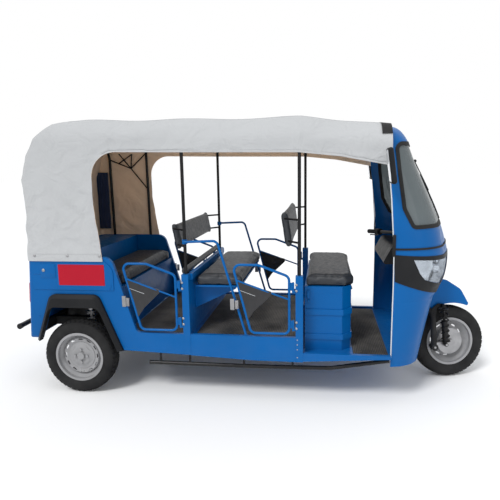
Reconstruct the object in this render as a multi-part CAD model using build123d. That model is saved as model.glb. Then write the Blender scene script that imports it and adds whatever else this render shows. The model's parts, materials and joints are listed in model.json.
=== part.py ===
from build123d import *
from functools import cache
import math
import os

# Long canvas-topped three-wheeled passenger vehicle, millimetres.
# X points forward from the rear axle, Y to the left, Z up from the ground.
# At the end everything moves along X so that the origin lies under the middle.

# Driving sizes
wheelbase = 2632
rear_track = 1110
body_half_width = 590
hoop_half_width = 555
body_top_height = 985
floor_height = 444
front_floor_height = 336
sill_height = 456
step_height = 350
post_height = 870
wall_thickness = 28
sheet = 4
gap = 0.3
running_gap = 0.06
moving_gap = 6
overrun = 20
bend_radius = 12
fine_radius = 3


def prism(points, view, low, high):
    """Closed outline of (across, up, corner radius) rows, drawn from low to high along the view."""
    spots = {
        "side": [(a, low, b) for a, b, _ in points],
        "front": [(low, a, b) for a, b, _ in points],
        "plan": [(a, b, low) for a, b, _ in points],
    }[view]
    along = {"side": (0, 1, 0), "front": (1, 0, 0), "plan": (0, 0, 1)}[view]
    path = FilletPolyline(*spots, radius=[r for _, _, r in points], close=True)
    return extrude(Face(path), amount=high - low, dir=along)


def from_shares(starts, spans, rows):
    """Rows of sizes from rows of shares: each share of a span, counted from that column's start."""
    return tuple(
        tuple(start + span * share for start, span, share in zip(starts, spans, row)) for row in rows
    )


def block(x_low, x_high, y_low, y_high, z_low, z_high):
    """Plain block between two corners."""
    size = (x_high - x_low, y_high - y_low, z_high - z_low)
    centre = ((x_high + x_low) / 2, (y_high + y_low) / 2, (z_high + z_low) / 2)
    return Pos(*centre) * Box(*size)


def tube(points, radii, radius, closed=False):
    """Round bar bent along a run of points with one bend radius for each corner."""
    path = FilletPolyline(*points, radius=radii, close=closed)
    start = Plane(origin=path @ 0, z_dir=path % 0)
    return sweep(start * Circle(radius), path=path)


def rod(start, end, radius):
    """Straight round bar between two points."""
    run = Vector(*end) - Vector(*start)
    return extrude(Plane(origin=start, z_dir=run) * Circle(radius), amount=run.length)


def left(part):
    """The same piece on the vehicle's left side."""
    return mirror(part, about=Plane.XZ)


def apart(*pieces):
    """Pieces that stay separate solids of one node."""
    return Compound(children=[solid for piece in pieces for solid in piece.solids()])


# Wheels, each built about its own axle along Y with the outer side towards -Y
tyre_radius = 266
tyre_width = 125
bead_radius = 166
flange_radius = 177
drop_radius = 142
rim_width = 106
rim_thickness = 5
disc_inset = 34
disc_thickness = 6
hub_radius = 62
hub_cap_radius = 27
hub_cap_depth = 16
hub_cap_taper = 8
drum_radius = 98
drum_depth = 52
axle_radius = 15
lug_radius = 9
lug_depth = 14
lug_circle = 46
lug_count = 4
slot_count = 12
slot_length = 34
slot_width = 11
hand_hole_count = 4
hand_hole_length = 40
hand_hole_width = 18
tread_height_share = 0.94
tread_width_share = 0.80
bulge_share = 0.52
drop_width_share = 0.22
disc_knee_share = 0.72
disc_rise_share = 0.93
disc_dip_share = 1.6
slot_ring_share = 0.87


def rim_section():
    """Rows of (radius, along the axle) round the rolled rim."""
    edge = rim_width / 2
    bead = edge - rim_thickness
    drop = rim_width * drop_width_share
    under = bead_radius - rim_thickness
    return [
        (flange_radius, -edge), (flange_radius, -bead), (bead_radius, -bead), (bead_radius, -drop),
        (drop_radius, 0), (bead_radius, drop), (bead_radius, bead), (flange_radius, bead),
        (flange_radius, edge), (under, edge), (under, drop + rim_thickness / 2),
        (drop_radius - rim_thickness, 0), (under, -drop - rim_thickness / 2), (under, -edge),
    ]


def disc_section(face):
    """Rows of (radius, along the axle) round the dished disc, from its hub out to the rim's drop."""
    seat = drop_radius - rim_thickness
    knee = seat * disc_knee_share
    dip = face + disc_thickness * disc_dip_share
    back = disc_thickness
    return [
        (0, face), (hub_radius, face), (knee, dip), (seat * disc_rise_share, face),
        (seat + rim_thickness / 2, 0), (seat, back), (seat * disc_rise_share - back, face + back),
        (knee, dip + back), (hub_radius, face + back), (0, face + back),
    ]


def ring(rows):
    """Solid of revolution about the axle from rows of (radius, along the axle)."""
    return revolve(Face(Polyline(*[(r, y, 0) for r, y in rows], close=True)), axis=Axis.Y)


def wheel_rim():
    """Pressed steel wheel with slots, hand holes, cap and lugs, and its brake drum behind."""
    face = disc_inset - rim_width / 2
    seat = drop_radius - rim_thickness
    knee = seat * disc_knee_share
    start = Plane(origin=(0, face - overrun, 0), z_dir=(0, 1, 0), x_dir=(1, 0, 0))
    deep = overrun * 2 + disc_thickness
    slot = extrude(start * SlotOverall(slot_length, slot_width), amount=deep)
    hole = extrude(start * SlotOverall(hand_hole_length, hand_hole_width), amount=deep)
    hole_ring = (hub_radius + knee) / 2
    cuts = [Rot(0, i * 360 / slot_count, 0) * Pos(0, 0, seat * slot_ring_share) * slot
            for i in range(slot_count)]
    cuts += [Rot(0, (i + 0.5) * 360 / hand_hole_count, 0) * Pos(0, 0, hole_ring) * hole
             for i in range(hand_hole_count)]
    outward = Plane(origin=(0, face, 0), z_dir=(0, -1, 0))
    inward = Plane(origin=(0, face + disc_thickness, 0), z_dir=(0, 1, 0))
    cap = extrude(outward * Circle(hub_cap_radius), amount=hub_cap_depth, taper=hub_cap_taper)
    lug = extrude(outward * Circle(lug_radius), amount=lug_depth)
    lugs = [Rot(0, i * 360 / lug_count, 0) * Pos(0, 0, lug_circle) * lug for i in range(lug_count)]
    drum = extrude(inward * Circle(drum_radius), amount=drum_depth)
    bore = extrude(inward * Circle(axle_radius + gap), amount=drum_depth)
    return ring(rim_section()) + (ring(disc_section(face)) - cuts) + [cap, *lugs] + (drum - bore)


def wheel_tyre():
    """Road tyre with a low crown and bulged sidewalls, seated on the rim's beads."""
    half = tyre_width / 2
    bead = rim_width / 2 - rim_thickness - gap
    foot = flange_radius + gap
    seat = bead_radius + gap
    shoulder = tyre_radius * tread_height_share
    bulge = bead_radius + (tyre_radius - bead_radius) * bulge_share
    tread = half * tread_width_share
    arcs = [
        ThreePointArc((foot, -bead, 0), (bulge, -half, 0), (shoulder, -tread, 0)),
        ThreePointArc((shoulder, -tread, 0), (tyre_radius, 0, 0), (shoulder, tread, 0)),
        ThreePointArc((shoulder, tread, 0), (bulge, half, 0), (foot, bead, 0)),
        Polyline((foot, bead, 0), (seat, bead, 0), (seat, -bead, 0), (foot, -bead, 0)),
    ]
    return revolve(Face(Wire([edge for arc in arcs for edge in arc.edges()])), axis=Axis.Y)


# Side walls of the rear body with the wheel arches and their black trims
tail_x = -380
tail_lean = 42
tail_foot_height = 388
door_edge_top_x = 272
door_edge_foot_x = 432
mid_post_x = 790
front_post_x = 1553
post_width = 48
post_depth = 46
skirt_rear_height = 325
skirt_mid_height = 309
skirt_low_height = 287
skirt_front_height = 327
door_shoulder_radius = 80
door_foot_radius = 40
arch_rear_foot_x = -285
arch_rear_top_x = -178
arch_front_top_x = 165
arch_front_foot_x = 312
arch_top_height = 690
arch_radius = 60
press_depth = 5
tail_corner_radius = 26
press_front_x = 285
press_low_height = 752
press_margin = 26
flare_depth = 45
flare_bevel = 24
flare_seat = 18
flare_rise = 32
flare_reach = 30
flare_lip = 56


def arch_points(out, up, down):
    """Wheel arch outline from the rear foot over the wheel to the front foot."""
    rear_slope = (arch_rear_top_x - arch_rear_foot_x) / (arch_top_height - tail_foot_height)
    front_slope = (arch_front_foot_x - arch_front_top_x) / (arch_top_height - skirt_rear_height)
    return [
        (arch_rear_foot_x - out - rear_slope * down, tail_foot_height - down, 0),
        (arch_rear_top_x - out + rear_slope * up, arch_top_height + up, arch_radius),
        (arch_front_top_x + out - front_slope * up, arch_top_height + up, arch_radius),
        (arch_front_foot_x + out + front_slope * down, skirt_rear_height - down, 0),
    ]


def quarter_panel():
    """Right rear side wall from the tail to the middle post, with its raised field and door sill."""
    face = -body_half_width
    end_x = mid_post_x - post_width / 2
    points = [
        (tail_x, tail_foot_height, bend_radius),
        (tail_x + tail_lean, body_top_height, 0),
        (door_edge_top_x, body_top_height, door_shoulder_radius),
        (door_edge_foot_x, sill_height, door_foot_radius),
        (end_x, sill_height, 0),
        (end_x, skirt_mid_height, 0),
        *arch_points(0, 0, 0)[::-1],
    ]
    field_rear = tail_x + tail_lean + press_margin
    field = [
        (field_rear, press_low_height, bend_radius),
        (field_rear, body_top_height, 0),
        (door_edge_top_x - door_shoulder_radius, body_top_height, 0),
        (press_front_x, body_top_height - door_shoulder_radius, door_shoulder_radius),
        (press_front_x, press_low_height, bend_radius),
    ]
    wall = prism(points, "side", face, face + wall_thickness)
    corner = [edge for edge in wall.edges() if edge.center().X < tail_x + tail_lean and
              abs(edge.center().Y - face) < sheet and edge.length > wall_thickness * 2]
    return fillet(corner, tail_corner_radius) + prism(field, "side", face - press_depth, face)


def flare():
    """Black arch trim that stands out over the right rear wheel."""
    face = -body_half_width - flare_depth
    shell = prism(arch_points(flare_seat, flare_rise, 0), "side", face, -body_half_width)
    rim = [edge for edge in shell.edges() if abs(edge.center().Y - face) < sheet
           and edge.center().Z > tail_foot_height - overrun / 2]
    shell = chamfer(rim, flare_bevel)
    opening = arch_points(flare_seat - flare_reach, -flare_lip, overrun * 3)
    return shell - prism(opening, "side", face - overrun, 0)


def tail_panel():
    """Leaning rear wall between the two side walls."""
    half = body_half_width - wall_thickness
    points = [
        (tail_x, tail_foot_height, 0),
        (tail_x + tail_lean, body_top_height, 0),
        (tail_x + tail_lean + wall_thickness, body_top_height, 0),
        (tail_x + wall_thickness, tail_foot_height, 0),
    ]
    panel = prism(points, "side", -half, half)
    for side in (-1, 1):
        y = side * rail_half_spacing
        panel -= rod((bumper_x, y, bumper_height), (rail_rear_x, y, bumper_height), bumper_arm_radius + gap)
    return panel


plate_rear_x = -113
plate_front_x = 224
plate_low_height = 786
plate_high_height = 932
plate_depth = 2


def side_plate():
    """Blank painted plate on the raised field above the wheel."""
    face = -body_half_width - press_depth
    return block(plate_rear_x, plate_front_x, face - plate_depth, face, plate_low_height, plate_high_height)


lamp_half_width = 45
lamp_height = 150
lamp_depth = 22
lamp_inboard = 90
lamp_low_height = 640


def tail_lamps():
    """Upright lamp unit near each rear corner, standing on the leaning tail panel."""
    def face_x(height):
        return tail_x + tail_lean * (height - tail_foot_height) / (body_top_height - tail_foot_height)
    high = lamp_low_height + lamp_height
    points = [
        (face_x(lamp_low_height), lamp_low_height, 0), (face_x(high), high, 0),
        (face_x(high) - lamp_depth, high, bend_radius),
        (face_x(lamp_low_height) - lamp_depth, lamp_low_height, bend_radius),
    ]
    centre = body_half_width - lamp_inboard
    lamp = prism(points, "side", -centre - lamp_half_width, -centre + lamp_half_width)
    return apart(lamp, left(lamp))


# Rear deck over the engine, bench base and the bulkhead behind the bench
deck_height = 640
bench_front_x = 334
rear_bench_height = 775
bulkhead_x = 10
inner_half = body_half_width - wall_thickness


def rear_deck():
    """Folded sheet: bulkhead top and face, seat shelf, and the bench's upright front down to the floor."""
    top = body_top_height - sheet
    rows = [
        (tail_x + tail_lean + wall_thickness, top), (bulkhead_x, top), (bulkhead_x, rear_bench_height),
        (bench_front_x, rear_bench_height), (bench_front_x, floor_height + sheet),
    ]
    under = [(x - sheet, z - sheet) for x, z in rows[1:-1]]
    points = [(x, z, 0) for x, z in rows]
    points += [(bench_front_x - sheet, floor_height + sheet, 0)]
    points += [(x, z, 0) for x, z in under[::-1]]
    points += [(tail_x + tail_lean + wall_thickness, top - sheet, 0)]
    return prism(points, "side", -inner_half, inner_half)


# Floor sheet, its mats and the ladder frame below
step_x = 1548
floor_rear_x = 330
mat_thickness = 5
mat_margin = 12
rail_width = 50
rail_depth = 62
rail_half_spacing = 330
rail_kick_rear_x = 150
rail_kick_front_x = 318
rail_kick_rise = 150
rail_rear_x = -344
rail_front_x = 2290
first_cross_x = 580
cross_width = 40
side_wall = wall_thickness


def floor_pan():
    """Passenger floor, step down and driver floor in one folded sheet."""
    points = [
        (floor_rear_x, floor_height, 0), (step_x, floor_height, 0), (step_x, front_floor_height, 0),
        (cab_x, front_floor_height, 0), (cab_x, front_floor_height - sheet, 0),
        (step_x - sheet, front_floor_height - sheet, 0), (step_x - sheet, floor_height - sheet, 0),
        (floor_rear_x, floor_height - sheet, 0),
    ]
    return prism(points, "side", -inner_half, inner_half) - post_room()


def floor_mats():
    """Rubber mats: one from the rear bench to the step, one on the driver floor."""
    half = body_half_width - post_depth - mat_margin
    rear_start = bench_front_x + mat_margin
    rear_end = mid_bulkhead_x - mat_margin
    middle_start = mid_bulkhead_x + wall_thickness + mat_margin
    top = floor_height + mat_thickness
    rear = block(rear_start, rear_end, -half, half, floor_height, top)
    middle = block(middle_start, step_x - mat_margin, -half, half, floor_height, top)
    front_top = front_floor_height + mat_thickness
    front = block(seat_box_front_x + mat_margin, cab_x - mat_margin, -half, half, front_floor_height,
                  front_top)
    return apart(rear, middle, front)


def cross_places():
    """X of the cross members under the floor."""
    return [first_cross_x, mid_post_x, (mid_post_x + front_post_x) / 2, front_post_x - post_width]


def post_room():
    """Room for the four posts with their clearance."""
    room = []
    for x in (mid_post_x, front_post_x):
        one = block(x - post_width / 2 - gap, x + post_width / 2 + gap, -body_half_width - overrun,
                    -body_half_width - sheet / 2 + post_depth + gap, 0, post_height)
        room += [one, left(one)]
    return room


def ladder_frame():
    """Two kicked-up side rails with cross members that carry the floor."""
    under = front_floor_height - sheet
    low = under - rail_depth
    points = [
        (rail_rear_x, low + rail_kick_rise, 0), (rail_kick_rear_x, low + rail_kick_rise, 0),
        (rail_kick_front_x, low, 0), (rail_front_x, low, 0), (rail_front_x, under, 0),
        (rail_kick_front_x + bend_radius, under, 0), (rail_kick_rear_x + bend_radius,
                                                      under + rail_kick_rise, 0),
        (rail_rear_x, under + rail_kick_rise, 0),
    ]
    rail = prism(points, "side", -rail_half_spacing - rail_width / 2, -rail_half_spacing + rail_width / 2)
    frame = rail + left(rail)
    for x in cross_places():
        frame += block(x - cross_width / 2, x + cross_width / 2, -inner_half, inner_half,
                       under, floor_height - sheet)
    tail = rail_rear_x + cross_width
    frame += block(rail_rear_x, tail, -inner_half, inner_half, under + rail_kick_rise - rail_depth,
                   under + rail_kick_rise)
    return frame - post_room()


# Sills, front step and the four upright posts
def sill_panel():
    """Skirt between the middle and front posts."""
    start = mid_post_x + post_width / 2
    end = front_post_x - post_width / 2
    points = [
        (start, sill_height, 0), (end, sill_height, 0), (end, skirt_low_height, 0),
        (start + (end - start) * 0.6, skirt_low_height, 0), (start, skirt_mid_height - sheet, 0),
    ]
    return prism(points, "side", -body_half_width, -body_half_width + wall_thickness)


def step_panel():
    """Low skirt under the driver's doorway."""
    start = front_post_x + post_width / 2
    points = [
        (start, step_height, 0), (cab_x, step_height, 0), (cab_x, skirt_front_height, 0),
        (start, skirt_low_height + sheet, 0),
    ]
    return prism(points, "side", -body_half_width, -body_half_width + wall_thickness)


def post(x, low):
    """Upright box post that carries a hoop and a door."""
    return block(x - post_width / 2, x + post_width / 2, -body_half_width - sheet / 2,
                 -body_half_width - sheet / 2 + post_depth, low, post_height)


# Middle bulkhead and benches
mid_bulkhead_x = 806
beam_depth = 42
roll_radius = 27
roll_offset = 34
mid_seat_front_x = 1172
mid_seat_height = 842
mid_seat_thickness = 66
mid_seat_half = 505
cushion_radius = 22
board_thickness = 12
bracket_drop = 170
bracket_share = 0.8
bracket_thickness = 6
rear_cushion_thickness = 72
rear_cushion_half = 520


def mid_bulkhead():
    """Upright sheet across the middle posts, with a beam on top and the seat brackets on its front."""
    half = body_half_width - post_depth - gap
    panel = block(mid_bulkhead_x, mid_bulkhead_x + sheet, -half, half, floor_height, post_height - beam_depth)
    beam = block(mid_bulkhead_x - sheet, mid_bulkhead_x + wall_thickness - sheet, -half, half,
                 post_height - beam_depth, post_height)
    under = mid_seat_height - mid_seat_thickness - board_thickness
    start = mid_bulkhead_x + sheet
    points = [
        (start, under, 0), (mid_seat_front_x - mid_seat_thickness, under, 0),
        (mid_seat_front_x - mid_seat_thickness, under - wall_thickness, bend_radius),
        (start, under - bracket_drop, 0),
    ]
    wall = panel + beam
    cradle_low = post_height - beam_depth + sheet
    for y in (-mid_seat_half * bracket_share, 0, mid_seat_half * bracket_share):
        wall += prism(points, "side", y - bracket_thickness / 2, y + bracket_thickness / 2)
        wall += block(mid_bulkhead_x - roll_offset, mid_bulkhead_x - sheet, y - bracket_thickness / 2,
                      y + bracket_thickness / 2, cradle_low, post_height + roll_radius / 2)
    return wall - grab_roll(gap)


def mid_seat_board():
    """Seat board under the middle cushion."""
    high = mid_seat_height - mid_seat_thickness
    start = mid_bulkhead_x + wall_thickness
    return block(start, mid_seat_front_x - overrun, -mid_seat_half + overrun, mid_seat_half - overrun,
                 high - board_thickness, high)


def cushion(x_low, x_high, half, low, high):
    """Plain soft seat pad with rounded upright corners and top edge."""
    pad = block(x_low, x_high, -half, half, low, high)
    pad = fillet(pad.edges().filter_by(Axis.Z), cushion_radius)
    return fillet(pad.faces().sort_by(Axis.Z)[-1].edges(), cushion_radius)


# Driver seat: sheet box with chamfered front corners, hinged lid and cushion
seat_box_rear_x = 1586
seat_box_front_x = 1894
seat_box_half = 475
seat_box_chamfer = 62
seat_lid_height = 733
seat_lid_rim = 40
driver_seat_height = 846
box_rib_depth = 7
cushion_overhang = 24


def seat_outline(grow, overhang=0):
    """Plan of the seat box with its two chamfered front corners."""
    rear = seat_box_rear_x - grow
    front = seat_box_front_x + grow + overhang
    half = seat_box_half + grow
    cut = seat_box_chamfer
    return [
        (rear, -half, 0), (front - cut, -half, bend_radius), (front, -half + cut, bend_radius),
        (front, half - cut, bend_radius), (front - cut, half, bend_radius), (rear, half, 0),
    ]


lid_hinge_half_spacing = 300
lid_hinge_length = 60
lid_pin_radius = 3
lid_knuckle_radius = 6.5
lid_knuckle_share = 0.4


def lid_pivot():
    """Axis of the seat lid's hinges, in front of the box's top edge."""
    return (seat_box_front_x + lid_knuckle_radius + gap, seat_lid_height)


def lid_barrel(y, low_share, high_share, radius):
    """Stretch of a lid hinge's barrel, by shares of its length."""
    x, z = lid_pivot()
    start = y - lid_hinge_length / 2
    return rod((x, start + lid_hinge_length * low_share, z), (x, start + lid_hinge_length * high_share, z),
               radius)


def box_hinges():
    """Fixed leaves, middle knuckles and pins of the lid's two hinges."""
    x, z = lid_pivot()
    parts = []
    share = lid_knuckle_share / 2
    for y in (-lid_hinge_half_spacing, lid_hinge_half_spacing):
        knuckle = lid_barrel(y, 1 / 2 - share, 1 / 2 + share, lid_knuckle_radius)
        half = lid_hinge_length * share
        leaf = block(seat_box_front_x, x, y - half, y + half, z - lid_knuckle_radius * 3, z)
        leaf -= block(seat_box_front_x + sheet / 2, x + overrun, y - overrun * 2, y + overrun * 2,
                      z - lid_knuckle_radius * 4, z - lid_knuckle_radius)
        parts.append(knuckle + leaf + lid_barrel(y, 0, 1, lid_pin_radius))
    return parts


def lid_hinges():
    """Moving knuckles at both ends of each hinge pin, with their leaves on the lid's rim."""
    x, z = lid_pivot()
    parts = []
    share = lid_knuckle_share / 2
    for y in (-lid_hinge_half_spacing, lid_hinge_half_spacing):
        bore = lid_barrel(y, -1, 2, lid_pin_radius + running_gap)
        for low, high in ((0, 1 / 2 - share), (1 / 2 + share, 1)):
            start = y - lid_hinge_length / 2 + lid_hinge_length * low + gap
            end = y - lid_hinge_length / 2 + lid_hinge_length * high - gap
            knuckle = rod((x, start, z), (x, end, z), lid_knuckle_radius)
            leaf = block(seat_box_front_x, x, start, end, z, z + lid_knuckle_radius * 3)
            leaf -= block(seat_box_front_x + sheet / 2, x + overrun, start, end, z + lid_knuckle_radius,
                          z + lid_knuckle_radius * 4)
            foot = block(seat_box_front_x - sheet, seat_box_front_x, start - overrun, end + overrun,
                         z - lid_knuckle_radius, z + gap)
            parts.append(knuckle + leaf - bore - foot)
    return parts


def seat_box():
    """Driver seat box: open-topped sheet box with pressed ribs and the fixed halves of its lid's hinges."""
    shell = prism(seat_outline(0), "plan", front_floor_height, seat_lid_height)
    for height in rib_heights:
        band = prism(seat_outline(box_rib_depth), "plan", height - rib_half, height + rib_half)
        behind = block(seat_box_rear_x - overrun, seat_box_rear_x, -seat_box_half - overrun,
                       seat_box_half + overrun, height - rib_half, height + rib_half)
        shell += band - behind
    hollow = prism(seat_outline(-sheet), "plan", front_floor_height + sheet, seat_lid_height + overrun)
    return shell - hollow + box_hinges()


rib_low_height = 431
rib_high_height = 602
rib_heights = (rib_low_height, rib_high_height)
rib_half = 20
lid_top_height = 778


def seat_lid():
    """Shallow lid with a turned-down rim that closes the seat box."""
    low = seat_lid_height + gap
    shell = prism(seat_outline(0), "plan", low, lid_top_height)
    shell -= prism(seat_outline(-sheet), "plan", low - overrun, lid_top_height - sheet)
    return shell + lid_hinges()


def driver_cushion():
    """Driver cushion with the same chamfered plan as the box."""
    pad = prism(seat_outline(sheet, cushion_overhang), "plan", lid_top_height, driver_seat_height)
    return fillet(pad.faces().sort_by(Axis.Z)[-1].edges(), cushion_radius)


# Backrests hung between the hoops
back_height = 185
back_thickness = 34
back_low_height = 1018
back_lean = 42
mid_back_x = 742
driver_back_x = 1500
mid_back_half = 480
driver_back_half = 470
driver_back_low_height = 1032
driver_back_height = 250
stay_radius = 7
hoop_radius = 11


def backrest(x, half, low, height):
    """Plain leaning pad between two hoop posts."""
    points = [
        (x - back_thickness, low, bend_radius), (x, low, bend_radius),
        (x - back_lean, low + height, bend_radius), (x - back_lean - back_thickness, low + height,
                                                     bend_radius),
    ]
    return prism(points, "side", -half, half)


def back_stays(x, hoop_x, half, low, height):
    """Four short rods that hold a backrest to its hoop."""
    rods = []
    pad = backrest(x, half, low, height)
    bar = rod((hoop_x, -hoop_half_width, low), (hoop_x, -hoop_half_width, low + height),
              hoop_radius + running_gap)
    for share in stay_shares:
        z = low + height * share
        pad_x = x - back_lean * share - back_thickness / 2
        rods.append(rod((pad_x, -half + stay_radius, z), (hoop_x, -hoop_half_width, z),
                        stay_radius) - pad - bar)
    return apart(*rods, *[left(one) for one in rods])


stay_shares = (0.2, 0.8)


def backrests():
    """Middle and driver backrests with the stays that hang them on their hoops."""
    mid = backrest(mid_back_x, mid_back_half, back_low_height, back_height)
    driver = backrest(driver_back_x, driver_back_half, driver_back_low_height, driver_back_height)
    mid_stays = back_stays(mid_back_x, mid_post_x, mid_back_half, back_low_height, back_height)
    driver_stays = back_stays(driver_back_x, front_post_x, driver_back_half, driver_back_low_height,
                              driver_back_height)
    return apart(mid, driver, mid_stays, driver_stays)


def grab_roll(grow=0):
    """Padded roll behind the beam of the middle bench."""
    x = mid_bulkhead_x - roll_offset
    z = post_height + roll_radius / 2
    half = body_half_width - post_depth - moving_gap
    return rod((x, -half, z), (x, half, z), roll_radius + grow)


def bench_cushions():
    """Plain pads of the middle and the rear bench."""
    mid = cushion(mid_bulkhead_x + wall_thickness, mid_seat_front_x, mid_seat_half,
                  mid_seat_height - mid_seat_thickness, mid_seat_height)
    rear = cushion(bulkhead_x, rear_cushion_front_x, rear_cushion_half, rear_bench_height,
                   rear_bench_height + rear_cushion_thickness)
    return apart(mid, rear)


rear_cushion_front_x = 341


def roof_hoops():
    """Hoops, rear bow and roof rails of the canopy."""
    rail = roof_rail()
    irons = hood_irons()
    hood = rear_hoop() + rear_bow() + irons + left(irons)
    return apart(hood, mid_hoop(), front_hoop(), rail, left(rail))


# Hoops, roof rails and canopy
canopy_thickness = 5
canopy_low_half = 603
canopy_side_half = 580
canopy_side_height = 1600
canopy_foot_height = 955
canopy_front_x = 2118
shoulder_radius = 150
corner_plan_radius = 45
crown_rise = 46
section_start_x = 94
section_run = 2000
shoulder_height = 1900
shoulder_fall = 100
shoulder_half = 574
front_narrowing = 12
section_shares = (
    # along X, fall of the shoulder corner, narrowing at the shoulder
    (0, 0, 0),
    (0.353, 0.15, 0),
    (0.729, 0.21, 0),
    (1.012, 0.87, 1),
)
canopy_sections = from_shares(
    (section_start_x, shoulder_height, shoulder_half), (section_run, -shoulder_fall, -front_narrowing),
    section_shares)
tail_rear_x = -350
tail_low_height = 940
tail_run = 500
tail_rise = 1000
tail_shares = (
    # along X and height of each bow seen from the side
    (0, 0),
    (0.01, 0.568),
    (0.12, 0.734),
    (0.248, 0.847),
    (0.458, 0.946),
    (0.888, 1.02),
)
canopy_tail_rows = from_shares((tail_rear_x, tail_low_height), (tail_run, tail_rise), tail_shares)
opening_rear_x = 172
opening_foot_x = 226
opening_foot_height = 900
opening_straight_height = 1330
opening_radius = 165
valance_height = 1690
valance_run = 2000
valance_fall = 250
valance_shares = (
    # along X and fall of the canopy's lower side edge
    (0, 0),
    (0.264, 0.056),
    (0.69, 0.132),
    (0.8185, 0.252),
    (1.064, 0.652),
)
valance_rows = from_shares((opening_rear_x, valance_height), (valance_run, -valance_fall), valance_shares)


def canopy_section(x, shoulder, half, inset, low):
    """Outline of the canopy across the vehicle at one station."""
    h = half - inset
    top = shoulder - inset
    points = [
        (-(canopy_low_half - inset), low, 0), (-(canopy_side_half - inset), canopy_side_height, 0),
        (-h, top, shoulder_radius), (0, top + crown_rise, 0), (h, top, shoulder_radius),
        (canopy_side_half - inset, canopy_side_height, 0), (canopy_low_half - inset, low, 0),
    ]
    path = FilletPolyline(*[(x, y, z) for y, z, _ in points], radius=[r for _, _, r in points], close=True)
    return Face(path)


def canopy_body(inset, low, front_extra):
    """Solid shape of the canopy, drawn in by the inset on every side."""
    rows = [list(row) for row in canopy_sections]
    rows[-1][0] += front_extra
    faces = [canopy_section(x, shoulder, half, inset, low) for x, shoulder, half in rows]
    shape = loft([faces[0], faces[1]], ruled=True) + loft([faces[1], faces[2]], ruled=True)
    shape += loft([faces[2], faces[3]], ruled=True)
    rear_x = canopy_tail_rows[0][0]
    tail = extrude(faces[0], amount=canopy_sections[0][0] - rear_x + overrun, dir=(-1, 0, 0))
    side = [(x + inset, z - inset, 0) for x, z in canopy_tail_rows[1:-1]]
    start_x = canopy_sections[0][0]
    roof = canopy_tail_rows[-1][1]
    profile = [(rear_x + inset, low, 0), *side, (start_x, roof - inset, 0), (start_x, low, 0)]
    tail = tail & prism(profile, "side", -canopy_low_half, canopy_low_half)
    half = canopy_low_half - inset
    plan = [
        (rear_x + inset, -half, corner_plan_radius - inset), (start_x, -half, 0),
        (start_x, half, 0), (rear_x + inset, half, corner_plan_radius - inset),
    ]
    return shape + (tail & prism(plan, "plan", low, roof))


def canopy():
    """Canvas canopy: one shell, open below, in front and along both sides."""
    shell = canopy_body(0, canopy_foot_height, 0) - canopy_body(canopy_thickness,
                                                                canopy_foot_height - overrun, overrun)
    opening = [
        (opening_foot_x, opening_foot_height, 0), (opening_rear_x, opening_straight_height, opening_radius),
        (valance_rows[0][0], valance_rows[0][1], opening_radius),
        *[(x, z, 0) for x, z in valance_rows[1:]],
        (valance_rows[-1][0], opening_foot_height, 0),
    ]
    return shell - prism(opening, "side", -canopy_low_half - overrun, canopy_low_half + overrun)


def roof_line(x):
    """Height of the canopy's shoulder corner at any station."""
    rows = canopy_sections
    for (x0, z0, _), (x1, z1, _) in zip(rows, rows[1:]):
        if x <= x1:
            break
    return z0 + (z1 - z0) * max(0, x - x0) / (x1 - x0)


def hoop(x, foot, half):
    """Round bar hoop from its two feet up and over under the roof."""
    drop = canopy_thickness + hoop_radius + gap
    top = roof_line(x) - drop
    spread = half + (half - hoop_half_width) * overrun / (top - foot)
    points = [(x, -spread, foot - overrun), (x, -hoop_half_width, top), (x, 0, top + crown_rise),
              (x, hoop_half_width, top), (x, spread, foot - overrun)]
    bend = shoulder_radius - drop
    below = block(x - hoop_radius * 2, x + hoop_radius * 2, -half * 2, half * 2, foot - overrun * 2, foot)
    return tube(points, [bend, bend * 4, bend], hoop_radius) - below


rear_hoop_x = 140
rear_hoop_foot_half = 574
bow_x = -205
bow_lean = 40


def rear_hoop():
    """Hoop that stands on the side walls just behind the doorway."""
    return hoop(rear_hoop_x, body_top_height, rear_hoop_foot_half)


def mid_hoop():
    """Hoop at the posts between the two doorways."""
    return hoop(mid_post_x, post_height, hoop_half_width)


def front_hoop():
    """Hoop at the posts beside the driver."""
    return hoop(front_post_x, post_height, hoop_half_width)


def rear_bow():
    """Lower bow near the rear edge of the canopy."""
    top = canopy_bow_height - canopy_thickness - hoop_radius - bow_drop
    half = rear_hoop_foot_half
    points = [(bow_x, -half, body_top_height - overrun), (bow_x, -hoop_half_width, top),
              (bow_x, hoop_half_width, top), (bow_x, half, body_top_height - overrun)]
    bend = shoulder_radius - canopy_thickness - hoop_radius
    below = block(bow_x - hoop_radius * 2, bow_x + hoop_radius * 2, -half * 2, half * 2,
                  body_top_height - overrun * 2, body_top_height)
    return tube(points, [bend, bend], hoop_radius) - below


canopy_bow_height = 1805
bow_drop = 12
iron_radius = 5
iron_half_spacing = 560
iron_shares = (
    # both ends of each link: forward from the bow to the rear hoop, and up from the side wall to the bow's top
    (1, 0.506, 0.57, 0.732),
    (0.57, 0.732, 0.26, 0.89),
    (0.57, 0.732, 1, 0.895),
    (0.57, 0.732, 0, 0.829),
    (0.57, 0.732, 0.61, 0.884),
    (0.61, 0.884, 0.23, 0.784),
)


def iron_point(along, up):
    """Place on the right side between the rear bow and the rear hoop."""
    return (bow_x + along * (rear_hoop_x - bow_x), -iron_half_spacing,
            body_top_height + up * (canopy_bow_height - body_top_height))


def hood_irons():
    """Right set of links on which the rear of the hood folds."""
    links = [rod(iron_point(x1, z1), iron_point(x2, z2), iron_radius) for x1, z1, x2, z2 in iron_shares]
    total = links[0]
    for link in links[1:]:
        total += link
    return total


roof_rail_radius = 8
roof_rail_half_spacing = 300
roof_rail_end = 35


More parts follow.
